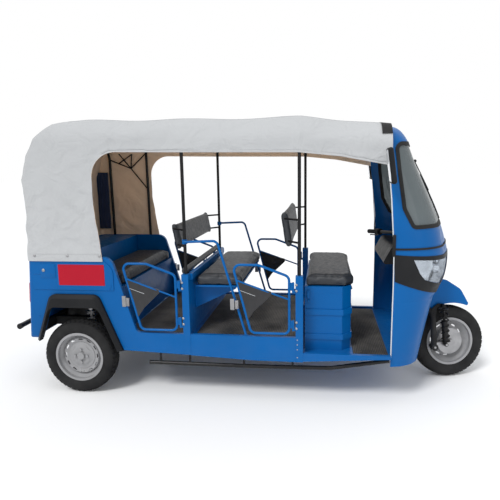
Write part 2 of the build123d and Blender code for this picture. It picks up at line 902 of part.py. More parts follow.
def roof_rail():
    """Right lengthwise rail that runs under the hoops."""
    fall = crown_rise * (1 - roof_rail_half_spacing / hoop_half_width)
    below = canopy_thickness + hoop_radius * 2 + gap - fall + roof_rail_radius
    stations = [rear_hoop_x, mid_post_x, front_post_x, canopy_front_x - roof_rail_end]
    heights = [roof_line(x) - below for x in stations]
    return tube([(x, -roof_rail_half_spacing, z) for x, z in zip(stations, heights)], [0, 0],
                roof_rail_radius)


def canopy_trim():
    """Black rubber band over the canopy's front edge."""
    band = block(canopy_front_x - trim_width, canopy_front_x, -canopy_low_half - overrun,
                 canopy_low_half + overrun,
                 trim_low_height, canopy_sections[0][1])
    outer = canopy_body(-sheet, canopy_foot_height, 0)
    return (outer & band) - canopy_body(-gap / gap_steps, canopy_foot_height, overrun)


trim_width = 62
trim_low_height = 1758
gap_steps = 10


# Cab: a D-shaped shell that widens from the nose to the doorway
cab_x = 2143
cab_half_width = 562
nose_reach = 432
cowl_foot_height = 268
cowl_knee_height = 480
nose_low_height = 700
nose_knee_height = 785
nose_mid_height = 900
nose_top_height = 1000
belt_height = 1046
screen_foot_height = 1180
screen_mid_height = 1450
screen_head_height = 1716
peak_foot_height = 1750
cab_top_height = 1820
# Shares for each height: the nose's reach and the half width at the corner, the reach at the
# crown, and the half width at the doorway
low_heights = (cowl_foot_height, cowl_knee_height, nose_low_height)
low_shares = (
    (0.468, 0.569, 0.530, 0.996),
    (0.576, 0.555, 0.669, 0.996),
    (0.699, 0.534, 0.826, 0.996),
)
nose_heights = (nose_low_height, nose_knee_height, nose_mid_height, nose_top_height, belt_height)
nose_shares = (
    (0.699, 0.534, 0.826, 0.996),
    (0.796, 0.534, 0.965, 1.0),
    (0.845, 0.560, 1.0, 1.0),
    (0.838, 0.569, 0.993, 0.996),
    (0.808, 0.578, 0.961, 0.996),
)
screen_heights = (belt_height, screen_foot_height, screen_mid_height, screen_head_height)
screen_shares = (
    (0.808, 0.578, 0.961, 0.996),
    (0.727, 0.578, 0.861, 0.996),
    (0.468, 0.569, 0.590, 0.988),
    (0.225, 0.534, 0.336, 0.899),
)
peak_heights = (screen_head_height, peak_foot_height, cab_top_height)
peak_shares = (
    (0.225, 0.534, 0.336, 0.899),
    (0.183, 0.516, 0.280, 0.854),
    (0.016, 0.360, 0.104, 0.534),
)
pillar_kink_height = 1140
pillar_lean_share = 0.108
side_run = 10
steer_arch_radius = 235
steer_arch_height = 765


def door_line(height):
    """X of the cab's rear edge, which leans back above the waist."""
    return cab_x - max(0, height - pillar_kink_height) * pillar_lean_share


def cab_section(height, shares, inset, rear_extra):
    """D-shaped plan of the cab at one height."""
    corner, corner_half, crown, doorway = shares
    rear = door_line(height)
    cx = cab_x + nose_reach * corner - inset
    cy = cab_half_width * corner_half - inset / 2
    front = cab_x + nose_reach * crown - inset
    h = cab_half_width * doorway - inset
    knee_x = rear + side_run
    half_turn = math.sqrt(1 / 2)
    mid = (knee_x + (cx - knee_x) * half_turn, cy + (h - cy) * half_turn)
    path = [
        Line((rear - rear_extra, -h, height), (knee_x, -h, height)),
        ThreePointArc((knee_x, -h, height), (mid[0], -mid[1], height), (cx, -cy, height)),
        ThreePointArc((cx, -cy, height), (front, 0, height), (cx, cy, height)),
        ThreePointArc((cx, cy, height), (mid[0], mid[1], height), (knee_x, h, height)),
        Line((knee_x, h, height), (rear - rear_extra, h, height)),
        Line((rear - rear_extra, h, height), (rear - rear_extra, -h, height)),
    ]
    return Face(Wire([edge for piece in path for edge in piece.edges()]))


def cab_loft(heights, shares, inset, rear_extra, below, above):
    """Loft through the plans of a run of heights, carried on straight at either end."""
    plans = [cab_section(height, row, inset, rear_extra) for height, row in zip(heights, shares)]
    shape = loft(plans)
    if below:
        shape += extrude(plans[0], amount=below, dir=(0, 0, -1))
    if above:
        shape += extrude(plans[-1], amount=above, dir=(0, 0, 1))
    return shape


@cache
def cowl_solid(inset, rear_extra=0, past=0):
    """Solid of the lower cab drawn in by the inset."""
    low = cab_loft(low_heights, low_shares, inset, rear_extra, past, 0)
    return low + cab_loft(nose_heights, nose_shares, inset, rear_extra, 0, past)


@cache
def screen_solid(inset, rear_extra=0, past=0):
    """Solid of the upper cab up to the screen's head."""
    return cab_loft(screen_heights, screen_shares, inset, rear_extra, past, 0)


def steer_arch(grow):
    """Space in which the front wheel swings."""
    tall = steer_arch_height + grow
    radius = steer_arch_radius + grow
    core = Pos(steer_x, 0, tall / 2) * Cylinder(radius, tall)
    return core + block(steer_x, steer_x + steer_arch_radius * 2, -radius, radius, 0, tall)


fork_offset = 72
fork_rake = 21
steer_foot_height = 245
steer_x = wheelbase - fork_offset
steer_turn = 15
steer_lock = 40
stem_radius = 20
stem_hole_radius = 27
rake = math.radians(fork_rake)
steer_up = (-math.sin(rake), 0, math.cos(rake))
steer_axis = Axis((steer_x, 0, steer_foot_height), steer_up)


def on_stem(height):
    """Point of the raked steering axis at a height."""
    return (steer_x - (height - steer_foot_height) * math.tan(rake), 0, height)


# Headlamps let into the nose's corners
lamp_inner_half = 100
lens_rear_x = 2268
lens_top_height = 978
lens_run = 250
lens_fall = 200
lens_bend = 20
lens_shares = (
    # along X, fall and corner radius, from the upper rear corner forwards
    (0, 0, 0), (1.056, 0.1, 0.8), (1.136, 0.365, 0.8), (1.068, 0.78, 1.1), (0.896, 0.96, 1.1),
    (0.748, 0.89, 0),
    (0.308, 0.665, 0), (0.168, 0.45, 1.1),
)
lens_outline = from_shares((lens_rear_x, lens_top_height, 0), (lens_run, -lens_fall, lens_bend), lens_shares)
surround_rear_x = 2147
surround_top_height = 1010
surround_run = 500
surround_fall = 250
surround_bend = 30
surround_shares = (
    # along X, fall and corner radius, from the upper rear corner forwards
    (0, 0, 0), (0.986, 0.12, 0), (0.986, 0.9, 0), (0.802, 0.96, 0), (0.662, 1.152, 1), (0.306, 0.9, 0),
    (0.014, 0.688, 0),
)
surround_outline = from_shares(
    (surround_rear_x, surround_top_height, 0), (surround_run, -surround_fall, surround_bend), surround_shares)
surround_depth = 4
lens_thickness = 4
bowl_depth = 62
bowl_wall = 3
projector_radius = 36
projector_length = 34
projector_half_spacing = 255
projector_height = 872


def grown(points, amount):
    """The same outline with its sides moved out by an amount."""
    spots = [(a, 0, b) for a, b, _ in points]
    outline = Face(FilletPolyline(*spots, radius=[r for _, _, r in points], close=True))
    return offset(outline, amount=amount) if amount else outline


def side_cut(points, amount, low, high):
    """Prism across the vehicle from a side outline grown by an amount."""
    face = grown(points, amount)
    solid = extrude(face, amount=high - low, dir=(0, 1, 0))
    return Pos(0, low, 0) * solid


def lamp_cut(amount):
    """Right lamp's opening across the nose, grown by an amount."""
    return side_cut(lens_outline, amount, -cab_half_width - overrun, -lamp_inner_half + amount)


def front_cowl():
    """Lower front of the cab, open at the doorway, at the lamps and round the wheel's recess."""
    shell = (cowl_solid(0) - steer_arch(0)) - (cowl_solid(sheet, overrun, overrun) - steer_arch(sheet))
    cut = lamp_cut(0)
    stem = Plane(origin=on_stem(steer_arch_height - overrun * 2), z_dir=steer_up) * Circle(stem_hole_radius)
    return shell - cut - left(cut) - extrude(stem, amount=overrun * 4)


def headlamp_lenses():
    """Clear lens flush in the skin at each corner."""
    skin = cowl_solid(0) - cowl_solid(lens_thickness)
    lens = skin & lamp_cut(-gap)
    return apart(lens, left(lens))


def headlamp_trims():
    """Dark surround raised round each lens."""
    skin = cowl_solid(-surround_depth) - cowl_solid(-gap / gap_steps)
    band = side_cut(surround_outline, 0, -cab_half_width - overrun, -lamp_inner_half)
    trim = (skin & band) - lamp_cut(0)
    return apart(trim, left(trim))


def headlamp_bowls():
    """Bright cup behind each lens with a round projector in it."""
    inside = cowl_solid(sheet + gap)
    deep = cowl_solid(bowl_depth)
    cup = (inside - cowl_solid(bowl_depth + bowl_wall)) & lamp_cut(bowl_wall)
    cup -= (inside - deep) & lamp_cut(0)
    cup = max(cup.solids(), key=lambda solid: solid.volume)
    lamp_x = cab_x + nose_reach * projector_share
    lamp = rod((lamp_x, -projector_half_spacing, projector_height),
               (lamp_x + projector_length, -projector_half_spacing, projector_height), projector_radius)
    cup += lamp
    return apart(cup, left(cup))


projector_share = 0.70


# Windscreen: opening, glass and rubber seal
screen_rear_x = 2150
screen_low_height = 1183
screen_run = 500
screen_rise = 500
screen_bend = 50
screen_edge_shares = (
    # along X, rise and corner radius, from the lower rear corner forwards
    (0.224, 0, 0.68), (1.1, 0, 0), (1.1, 1.07, 0), (0, 1.034, 0.8), (0.036, 0.678, 0), (0.1, 0.234, 1.2),
)
screen_outline = from_shares(
    (screen_rear_x, screen_low_height, 0), (screen_run, screen_rise, screen_bend), screen_edge_shares)
seal_grip = 12
seal_lap = 8
glass_thickness = 5
glass_inset = 3


def cab_upper():
    """Pillars and roof peak round the windscreen."""
    outer = screen_solid(0) + cab_loft(peak_heights, peak_shares, 0, 0, 0, 0)
    peak = cab_loft(peak_heights, peak_shares, sheet, overrun, 0, 0)
    above = block(0, cab_x + nose_reach, -cab_half_width, cab_half_width, cab_top_height - sheet,
                  cab_top_height + overrun)
    inner = screen_solid(sheet, overrun, overrun) + (peak - above)
    half = cab_half_width + overrun
    return (outer - inner) - side_cut(screen_outline, 0, -half, half)


def windscreen_glass():
    """Curved glass held a little inside the opening's edge."""
    half = cab_half_width + overrun
    skin = screen_solid(glass_inset) - screen_solid(glass_inset + glass_thickness)
    return skin & side_cut(screen_outline, -seal_lap, -half, half)


def windscreen_seal(skin):
    """Rubber frame that grips the glass and laps the skin."""
    half = cab_half_width + overrun
    ring = screen_solid(-sheet) - screen_solid(seal_grip)
    ring &= side_cut(screen_outline, seal_grip, -half, half) - side_cut(screen_outline, -seal_grip, -half,
                                                                        half)
    ring -= windscreen_glass_space()
    return ring - skin


def windscreen_glass_space():
    """Room for the glass in its seal."""
    half = cab_half_width + overrun
    skin = screen_solid(glass_inset - gap / gap_steps) - screen_solid(glass_inset + glass_thickness + gap / gap_steps)
    return skin & side_cut(screen_outline, -seal_lap + gap / gap_steps, -half, half)


belt_depth = 5
belt_drop = 6


def belt_strip():
    """Rubber strip round the joint between cowl and screen frame."""
    outer = cab_section(belt_height, nose_shares[-1], -belt_depth, 0)
    inner = cab_section(belt_height, nose_shares[-1], -gap / gap_steps, overrun)
    band = extrude(outer, amount=belt_drop, dir=(0, 0, 1)) + extrude(outer, amount=belt_drop, dir=(0, 0, -1))
    core = extrude(inner, amount=belt_drop, dir=(0, 0, 1)) + extrude(inner, amount=belt_drop, dir=(0, 0, -1))
    return band - core - cowl_solid(-gap / gap_steps)


# Dashboard console, steering head and the cab's floor
dash_half_width = 300
dash_top_height = 1020
dash_low_height = 900
dash_rear_x = 2106
dash_slope = 62
dash_front_x = 2420
dash_radius = 30
column_hole_radius = 34
head_low_height = 771
head_top_height = 900
head_radius = 29
head_plate_half = 62
head_plate_thickness = 5


def dashboard():
    """Moulded console with a rounded rear face, open below, and a hole for the steering column."""
    points = [
        (dash_rear_x, dash_low_height, dash_radius / 2), (dash_rear_x + dash_slope, dash_top_height,
                                                          dash_radius),
        (dash_front_x, dash_top_height, 0), (dash_front_x, dash_low_height, 0),
    ]
    shape = prism(points, "side", -dash_half_width, dash_half_width)
    hollow = block(dash_rear_x + dash_slope + sheet, dash_front_x + overrun, -dash_half_width + sheet,
                   dash_half_width - sheet, dash_low_height - overrun, dash_top_height - sheet)
    hole = Plane(origin=on_stem(dash_low_height - overrun), z_dir=steer_up) * Circle(column_hole_radius)
    shape = shape - hollow - extrude(hole, amount=dash_top_height - dash_low_height + overrun * 3)
    return shape & cowl_solid(sheet + gap, dash_slope)


dash_arm_width = 24


def steering_head():
    """Head tube on a plate over the wheel recess, with the beam that carries the console."""
    foot = steer_arch_height + sheet
    centre_x = on_stem(foot)[0]
    plate = block(centre_x - head_plate_half, centre_x + head_plate_half, -head_plate_half, head_plate_half,
                  foot, foot + head_plate_thickness)
    low = on_stem(foot - overrun)
    length = (head_top_height - foot + overrun * 2) / math.cos(rake)
    barrel = extrude(Plane(origin=low, z_dir=steer_up) * Circle(head_radius), amount=length)
    barrel -= block(0, wheelbase, -cab_half_width, cab_half_width, 0, foot)
    bore = extrude(Plane(origin=on_stem(foot - overrun * 2),
                         z_dir=steer_up) * Circle(stem_radius + running_gap),
                   amount=length + overrun * 2)
    web = block(dash_front_x - dash_arm_width, dash_front_x - sheet, -head_plate_half, head_plate_half,
                foot, dash_top_height - sheet)
    plate += block(centre_x, dash_front_x - sheet, -head_plate_half, head_plate_half, foot,
                   foot + head_plate_thickness)
    return (plate + barrel) - bore + web


def cab_floor():
    """Floor sheet inside the cowl round the wheel recess."""
    slab = block(cab_x, cab_x + nose_reach, -cab_half_width, cab_half_width, front_floor_height - sheet,
                 front_floor_height)
    return (slab & cowl_solid(sheet)) - steer_arch(sheet)


# Side mirrors on short arms
mirror_rear_x = 2085
mirror_depth = 34
mirror_low_height = 1455
mirror_high_height = 1671
mirror_inner_half = 605
mirror_outer_half = 712
mirror_radius = 16
mirror_lean = 8
mirror_arm_radius = 5
mirror_arm_height = 1490


def side_mirror():
    """Rounded mirror housing on an arm from the pillar."""
    half_height = (mirror_high_height - mirror_low_height) / 2
    shape = block(-mirror_depth / 2, mirror_depth / 2, -mirror_outer_half, -mirror_inner_half,
                  -half_height, half_height)
    shape = fillet(shape.edges(), mirror_radius)
    middle = (mirror_rear_x + mirror_depth / 2, 0, mirror_low_height + half_height)
    shape = Pos(*middle) * Rot(0, -mirror_lean, 0) * shape
    foot_x = door_line(mirror_arm_height) + mirror_depth / 2
    knee = (foot_x, -mirror_inner_half - mirror_radius, mirror_arm_height)
    start = (foot_x, -cab_half_width + sheet + mirror_arm_radius / 2, mirror_arm_height)
    pad = rod((foot_x, -cab_half_width + overrun, mirror_arm_height),
              (foot_x, -cab_half_width - sheet, mirror_arm_height), mirror_arm_radius * 3)
    return (shape + rod(start, knee, mirror_arm_radius) + pad) - screen_solid(-gap)


# Guard tubes: sill tubes below the doors and the rear bumper
guard_radius = 14
guard_half_spacing = 540
guard_rear_x = 496
guard_height = 224
guard_rise_x = 1756
guard_kink_x = 1213
guard_kink_rise = 10
guard_front_x = 2140
guard_front_rise = 78
guard_bend = 280
bumper_x = -528
bumper_height = 434
bumper_half = 470
bumper_radius = 19
bumper_cap = 12
bumper_arm_radius = 15


def guard_tube():
    """Right sill tube with a hanger from each cross member."""
    y = -guard_half_spacing
    points = [(guard_rear_x, y, guard_height), (guard_kink_x, y, guard_height),
              (guard_rise_x, y, guard_height + guard_kink_rise),
              (guard_front_x, y, guard_height + guard_front_rise)]
    shape = tube(points, [guard_bend, guard_bend], guard_radius)
    for x in cross_places():
        shape += block(x - guard_radius / 2, x + guard_radius / 2, y - sheet, y + sheet,
                       guard_height, front_floor_height - sheet)
    return shape


def rear_bumper():
    """Round transverse bar with caps, on two arms from the frame's rails."""
    shape = rod((bumper_x, -bumper_half, bumper_height), (bumper_x, bumper_half, bumper_height),
                bumper_radius)
    for side in (-1, 1):
        end = side * bumper_half
        shape += rod((bumper_x, end - side * bumper_cap, bumper_height),
                     (bumper_x, end + side * bumper_cap, bumper_height), bumper_radius + sheet / 2)
        shape += rod((bumper_x, side * rail_half_spacing, bumper_height),
                     (rail_rear_x, side * rail_half_spacing, bumper_height), bumper_arm_radius)
    return shape


# Jamb tube in front of each middle bench
jamb_radius = 8.5
jamb_half = 575
jamb_height = 1089
jamb_knee_x = 1013
jamb_knee_rise = 9
jamb_bend = 40
jamb_foot_x = 1196
clamp_length = 30
clamp_wall = 7
jamb_plate_half = 16


def jamb_tube():
    """Right grab tube from the middle hoop forward and down to the sill."""
    y = -jamb_half
    points = [(mid_post_x, y, jamb_height), (jamb_knee_x, y, jamb_height + jamb_knee_rise),
              (jamb_foot_x, y, sill_height + sheet)]
    shape = tube(points, [jamb_bend], jamb_radius)
    axis = (mid_post_x, -hoop_half_width, jamb_height - clamp_length / 2)
    top = (mid_post_x, -hoop_half_width, jamb_height + clamp_length / 2)
    shape += rod(axis, top, hoop_radius + clamp_wall)
    shape += block(jamb_foot_x - jamb_plate_half, jamb_foot_x + jamb_plate_half, y - jamb_plate_half / 2,
                   y + jamb_plate_half / 2, sill_height, sill_height + sheet)
    return shape - rod(axis, top, hoop_radius + running_gap)


# Doors: bent tube loops on lift-off hinges at each post
door_tube_radius = 8.5
door_plane = 594
door_hinge_offset = 65
door_strut_radius = 6
door_length = 372
door_foot_length = 255
door_top_height = 943
door_knee_length = 200
door_front_top_height = 868
door_low_height = 482
door_corner_radius = 40
strut_far_height = 838
strut_near_height = 715
strut_far_inset = 26
pouch_thickness = 14
pouch_shares = (
    # shares of the door's length back from the hinge tube, and of its height above the foot
    (0.985, 0.766), (0.304, 0.610), (0.320, 0.560), (0.634, 0.321), (0.737, 0.195), (0.806, 0.174),
)
hinge_offset = 26
lower_hinge_height = 504
upper_hinge_height = 759
hinge_low_heights = (lower_hinge_height, upper_hinge_height)
hinge_foot = 18
hinge_length = 74
knuckle_radius = 8
pin_radius = 4
leaf_thickness = 5


def door_frame(post_x):
    """Tube loop with its strut and the knuckles of two hinges."""
    e = post_x - door_hinge_offset
    y = -door_plane
    rows = [
        (-door_length, door_top_height, door_corner_radius),
        (-door_knee_length, door_top_height, door_corner_radius * 2),
        (0, door_front_top_height, door_corner_radius), (0, door_low_height, door_corner_radius),
        (-door_foot_length, door_low_height, door_corner_radius),
    ]
    shape = tube([(e + a, y, z) for a, z, _ in rows], [r for _, _, r in rows], door_tube_radius, closed=True)
    shape += rod((e - door_length + strut_far_inset, y, strut_far_height), (e, y, strut_near_height),
                 door_strut_radius)
    pivot_x = e + hinge_offset
    for low in hinge_low_heights:
        start = low + hinge_foot + gap
        end = low + hinge_length - sheet
        knuckle = rod((pivot_x, y, start), (pivot_x, y, end), knuckle_radius)
        leaf = block(e + door_tube_radius / 2, pivot_x, y - leaf_thickness / 2, y + leaf_thickness / 2,
                     start, end)
        shape += (knuckle + leaf) - rod((pivot_x, y, low), (pivot_x, y, low + hinge_length),
                                        pin_radius + running_gap)
    return shape


def door_pouch(post_x):
    """Soft panel laced into the rear half of the loop."""
    e = post_x - door_hinge_offset
    tall = door_top_height - door_low_height
    points = [(e - door_length * a, door_low_height + tall * b, bend_radius) for a, b in pouch_shares]
    panel = prism(points, "side", -door_plane - pouch_thickness / 2, -door_plane + pouch_thickness / 2)
    return max((panel - door_frame(post_x)).solids(), key=lambda solid: solid.volume)


def door_hinges(post_x):
    """Fixed brackets and pins of one right door."""
    pivot_x = post_x - door_hinge_offset + hinge_offset
    y = -door_plane
    pieces = []
    for low in hinge_low_heights:
        shape = rod((pivot_x, y, low), (pivot_x, y, low + hinge_foot), knuckle_radius)
        shape += block(pivot_x, post_x - post_width / 2, y - leaf_thickness / 2, y + knuckle_radius / 2, low,
                       low + hinge_foot)
        shape += rod((pivot_x, y, low), (pivot_x, y, low + hinge_length), pin_radius)
        pieces.append(shape)
    return apart(*pieces)


# Running gear at the rear and the engine block
arm_pivot_x = 420
arm_pivot_height = 301
arm_half_spacing = 455
arm_radius = 22
arm_pin_radius = 16
plate_radius = 96
plate_thickness = 6
hub_block_radius = 42
shaft_radius = 14
engine_rear_x = -300
engine_front_x = 60
engine_half_width = 220
engine_low_height = 230
engine_high_height = 560
engine_radius = 30
mount_width = 40
mount_height = 24
shock_x = 30
shock_top_height = 580
shock_rod_radius = 9
shock_body_radius = 22
shock_coil_radius = 27
shock_wire_radius = 4.5
shock_cup_radius = 33
shock_cup_thickness = 5
shock_turns = 6
shock_half_spacing = 440
tower_thickness = 8
tower_half_length = 40


def rear_arm():
    """Right trailing arm with its pivot, hub block, stub axle, brake plate and drive shaft."""
    inner = rail_half_spacing + rail_width / 2
    shape = rod((arm_pivot_x, -inner, arm_pivot_height), (arm_pivot_x, -arm_half_spacing - arm_radius,
                                                          arm_pivot_height),
                arm_pin_radius)
    shape += rod((arm_pivot_x, -arm_half_spacing, arm_pivot_height), (0, -arm_half_spacing, tyre_radius),
                 arm_radius)
    plane_y = rear_track / 2
    face = disc_inset - rim_width / 2 + disc_thickness
    drum_end = plane_y - face - drum_depth
    shape += rod((0, -arm_half_spacing + arm_radius, tyre_radius), (0, -drum_end + gap * 4, tyre_radius),
                 hub_block_radius)
    shape += rod((0, -drum_end + gap * 4 + plate_thickness, tyre_radius),
                 (0, -drum_end + gap * 4, tyre_radius),
                 plate_radius)
    shape += rod((0, -drum_end + plate_thickness, tyre_radius), (0, -plane_y + face + gap * 4, tyre_radius),
                 axle_radius)
    shape += rod((0, -arm_half_spacing, tyre_radius), (0, -engine_half_width, tyre_radius), shaft_radius)
    return shape


def shock_solid(foot, head, eye_radius, eye_half):
    """Coil-over damper between two cross pins: eyes, rod, body, cups and a wound spring."""
    run = Vector(*head) - Vector(*foot)
    along = run.normalized()
    length = run.length

    def at(distance):
        return tuple(Vector(*foot) + along * distance)

    low = eye_radius + shock_cup_thickness * 2
    high = length - eye_radius - shock_cup_thickness * 2
    shape = rod(at(0), at(length), shock_rod_radius)
    shape += rod(at(low), at(length * damper_share), shock_body_radius)
    shape += rod(at(low), at(low + shock_cup_thickness), shock_cup_radius)
    shape += rod(at(high), at(high + shock_cup_thickness), shock_cup_radius)
    start = low + shock_cup_thickness
    pitch = (high - start) / shock_turns
    line = Helix(pitch, high - start, shock_coil_radius, center=at(start), direction=along)
    wire = sweep(Plane(origin=line @ 0, z_dir=line % 0) * Circle(shock_wire_radius), path=line)
    for end in (foot, head):
        eye = rod((end[0], end[1] - eye_half, end[2]), (end[0], end[1] + eye_half, end[2]), eye_radius)
        shape += eye
    return shape, wire


damper_share = 0.62
rear_eye_radius = 15
rear_eye_half = 13


def rear_shock():
    """Right rear coil-over from the hub block up to the tower."""
    foot = (shock_x, -shock_half_spacing, tyre_radius + hub_block_radius + rear_eye_radius / 2)
    head = (shock_x, -shock_half_spacing, shock_top_height)
    shape, wire = shock_solid(foot, head, rear_eye_radius, rear_eye_half)
    arm = rear_arm()
    return apart(shape - arm, wire)


def shock_tower():
    """Bracket on the rail that carries the top of the right rear damper."""
    inner = rail_half_spacing
    rail_top = front_floor_height - sheet + rail_kick_rise
    high = shock_top_height + rear_eye_radius + tower_thickness
    outer = shock_half_spacing + shock_cup_radius
    shape = block(shock_x - tower_half_length, shock_x + tower_half_length, -outer, -inner,
                  high - tower_thickness, high)
    return shape + block(shock_x - tower_half_length, shock_x + tower_half_length, -inner - tower_thickness,
                         -inner,
                         rail_top, high)


def engine_block():
    """Plain engine and gearbox block with four mount arms to the rails."""
    shape = block(engine_rear_x, engine_front_x, -engine_half_width, engine_half_width, engine_low_height,
                  engine_high_height)
    shape = fillet(shape.edges(), engine_radius)
    rail_inner = rail_half_spacing - rail_width / 2
    rail_low = front_floor_height - sheet - rail_depth + rail_kick_rise
    for x in (engine_rear_x + mount_width * 2, engine_front_x - mount_width * 2):
        shape += block(x - mount_width / 2, x + mount_width / 2, -rail_inner, rail_inner, rail_low,
                       rail_low + mount_height)
    return shape


# Steering group: fork, handlebar, leading link, damper and mudguard, made straight and then turned
fork_split_height = 600
fork_top_height = 1064
fork_knee_height = 470
leg_half = 112
link_length = 152
leg_lean = 10
leg_bend = 45
link_half_height = 18
link_thickness = 18
link_gap = 5
boss_lip = 3
bolt_radius = 8
damper_foot_share = 0.60
damper_lean = 22
damper_head_height = 545
bracket_thickness_front = 6
bracket_rise = 55
bar_radius = 12
bar_half_width = 381
bar_sweep = 73
bar_bend = 160
bar_height = 1080
grip_radius = 17
grip_length = 112
grip_end = 3
switch_length = 52
switch_radius = 25
clamp_half = 30
guard_inner_radius = 292
guard_half_width = 80
mudguard_rear_x = 2440
mudguard_low_height = 451
mudguard_run = 250
mudguard_rise = 250
mudguard_bend = 50
mudguard_shares = (
    # along X, rise and corner radius, from the front tip back over the wheel
    (1.304, 0.344, 0.28), (1.028, 0.832, 1.8), (0.572, 1.128, 1.2), (0.24, 1.136, 0.8), (0, 0.356, 0),
    (0.096, 0, 0.4), (0.2, 0.104, 0), (0.404, 0.34, 0), (0.768, 0.34, 0),
)
guard_outline = from_shares((mudguard_rear_x, mudguard_low_height, 0), (mudguard_run, mudguard_rise, mudguard_bend),
                            mudguard_shares)


def link_pivot():
    """Pin of the leading link at the fork leg's foot."""
    return (wheelbase - link_length, -leg_half, steer_foot_height)


def fork_path(radius):
    """Stem, crossing bend and right leg as one bent tube."""
    pivot = link_pivot()
    points = [on_stem(fork_top_height), on_stem(fork_split_height),
              (pivot[0] - leg_lean, -leg_half, fork_knee_height),
              (pivot[0], -leg_half, pivot[2] + stem_radius / 2)]
    return tube(points, [leg_bend, leg_bend], radius)


def damper_ends():
    """Foot on the link and head on the fork's bracket."""
    pivot = link_pivot()
    rise = tyre_radius - steer_foot_height
    foot = (pivot[0] + link_length * damper_foot_share, -leg_half, pivot[2] + rise * damper_foot_share)
    return foot, (foot[0] - damper_lean, -leg_half, damper_head_height)


def pin(point, radius, inner, outer):
    """Cross pin along Y at a point."""
    return rod((point[0], -outer, point[2]), (point[0], -inner, point[2]), radius)


def fork():
    """Single-sided fork with the damper's upper bracket and stud."""
    pivot = link_pivot()
    foot, head = damper_ends()
    shape = fork_path(stem_radius)
    boss_half = stem_radius + boss_lip
    shape += rod((pivot[0], -leg_half - boss_half, pivot[2]), (pivot[0], -leg_half + boss_half, pivot[2]),
                 stem_radius + sheet)
    inner = leg_half - stem_radius
    tip = head[0] + front_eye_radius
    back = head[0] - shock_cup_radius - sheet
    plate = [
        (pivot[0] - leg_lean, fork_knee_height, 0), (pivot[0] + stem_radius, fork_knee_height, 0),
        (back, head[2] - front_eye_radius, 0), (tip, head[2] - front_eye_radius, 0),
        (tip, head[2] + front_eye_radius, bend_radius), (back, head[2] + front_eye_radius, 0),
        (pivot[0] - leg_lean, fork_knee_height + bracket_rise, 0),
    ]
    shape += prism(plate, "side", -inner - bracket_thickness_front, -inner)
    shape += pin(head, bolt_radius, inner, leg_half + front_eye_half + sheet)
    return shape - pin(pivot, bolt_radius + gap / gap_steps, 0, leg_half + stem_radius * 2)


front_eye_radius = 14
front_eye_half = 12


def front_link():
    """Leading link with its pivot bolt, damper stud, stub axle and brake plate."""
    pivot = link_pivot()
    foot, _ = damper_ends()
    outer = leg_half - stem_radius - link_gap
    inner = outer - link_thickness
    h = link_half_height
    plate = [(pivot[0], pivot[2] - h, 0), (wheelbase, tyre_radius - h, 0), (wheelbase, tyre_radius + h, 0),
             (pivot[0], pivot[2] + h, 0)]
    hub = (wheelbase, 0, tyre_radius)
    face = disc_inset - rim_width / 2 + disc_thickness
    drum_end = drum_depth + face
    shape = prism(plate, "side", -outer, -inner) + pin(pivot, h, inner, outer) + pin(hub, h + sheet, inner,
                                                                                     outer)
    shape += pin(hub, h + sheet, drum_end + gap * 4, inner)
    shape += pin(hub, plate_radius, drum_end + gap * 4, drum_end + gap * 4 + plate_thickness)
    shape += rod((wheelbase, -drum_end - plate_thickness, tyre_radius),
                 (wheelbase, -face - gap * 4, tyre_radius),
                 axle_radius)
    shape += pin(pivot, bolt_radius, inner, leg_half + stem_radius + sheet)
    return shape + pin(foot, bolt_radius, inner, leg_half + front_eye_half + sheet)


def front_shock():
    """Coil-over damper of the front link."""
    foot, head = damper_ends()
    shape, wire = shock_solid(foot, head, front_eye_radius, front_eye_half)
    for end in (foot, head):
        shape -= pin(end, bolt_radius + gap / gap_steps, 0, leg_half * 2)
    return apart(shape, wire)


def mudguard():
    """Tall pressed mudguard over the front wheel, open below, that the fork passes through."""
    shell = prism(guard_outline, "side", -guard_half_width, guard_half_width)
    inner = grown(guard_outline, -sheet)
    room = Pos(0, -guard_half_width + sheet, 0) * extrude(inner, amount=(guard_half_width - sheet) * 2,
                                                          dir=(0, 1, 0))
    wheel = Pos(wheelbase, 0, tyre_radius) * Rot(90, 0, 0) * Cylinder(guard_inner_radius,
                                                                      guard_half_width * 3)
    shell = shell - room - wheel
    return max((shell - fork_path(stem_radius + gap)).solids(), key=lambda solid: solid.volume)


def handlebar():
    """Swept bar with its clamp on the stem, controls and levers."""
    centre = on_stem(bar_height)
    points = [(centre[0] - bar_sweep, -bar_half_width, bar_height), centre,
              (centre[0] - bar_sweep, bar_half_width, bar_height)]
    shape = tube(points, [bar_bend], bar_radius)
    return shape + rod(on_stem(fork_top_height), on_stem(bar_height + bar_radius + sheet), clamp_half)


def bar_point(distance):
    """Point along the right half of the bar, from the middle outwards."""
    centre = on_stem(bar_height)
    share = distance / math.hypot(bar_sweep, bar_half_width)
    return (centre[0] - bar_sweep * share, -bar_half_width * share, bar_height)


def grips():
    """Rubber grip and switch housing at each end of the bar."""
    length = math.hypot(bar_sweep, bar_half_width)
    shape = rod(bar_point(length - grip_length), bar_point(length + grip_end), grip_radius)
    shape += rod(bar_point(length - grip_length - switch_length), bar_point(length - grip_length),
                 switch_radius)
    shape -= rod(bar_point(length - grip_length - switch_length * 2), bar_point(length),
                 bar_radius + gap / gap_steps)
    return apart(shape, left(shape))


def turned(part):
    """Part of the steering group in its resting turn to the left."""
    return part.rotate(steer_axis, steer_turn)


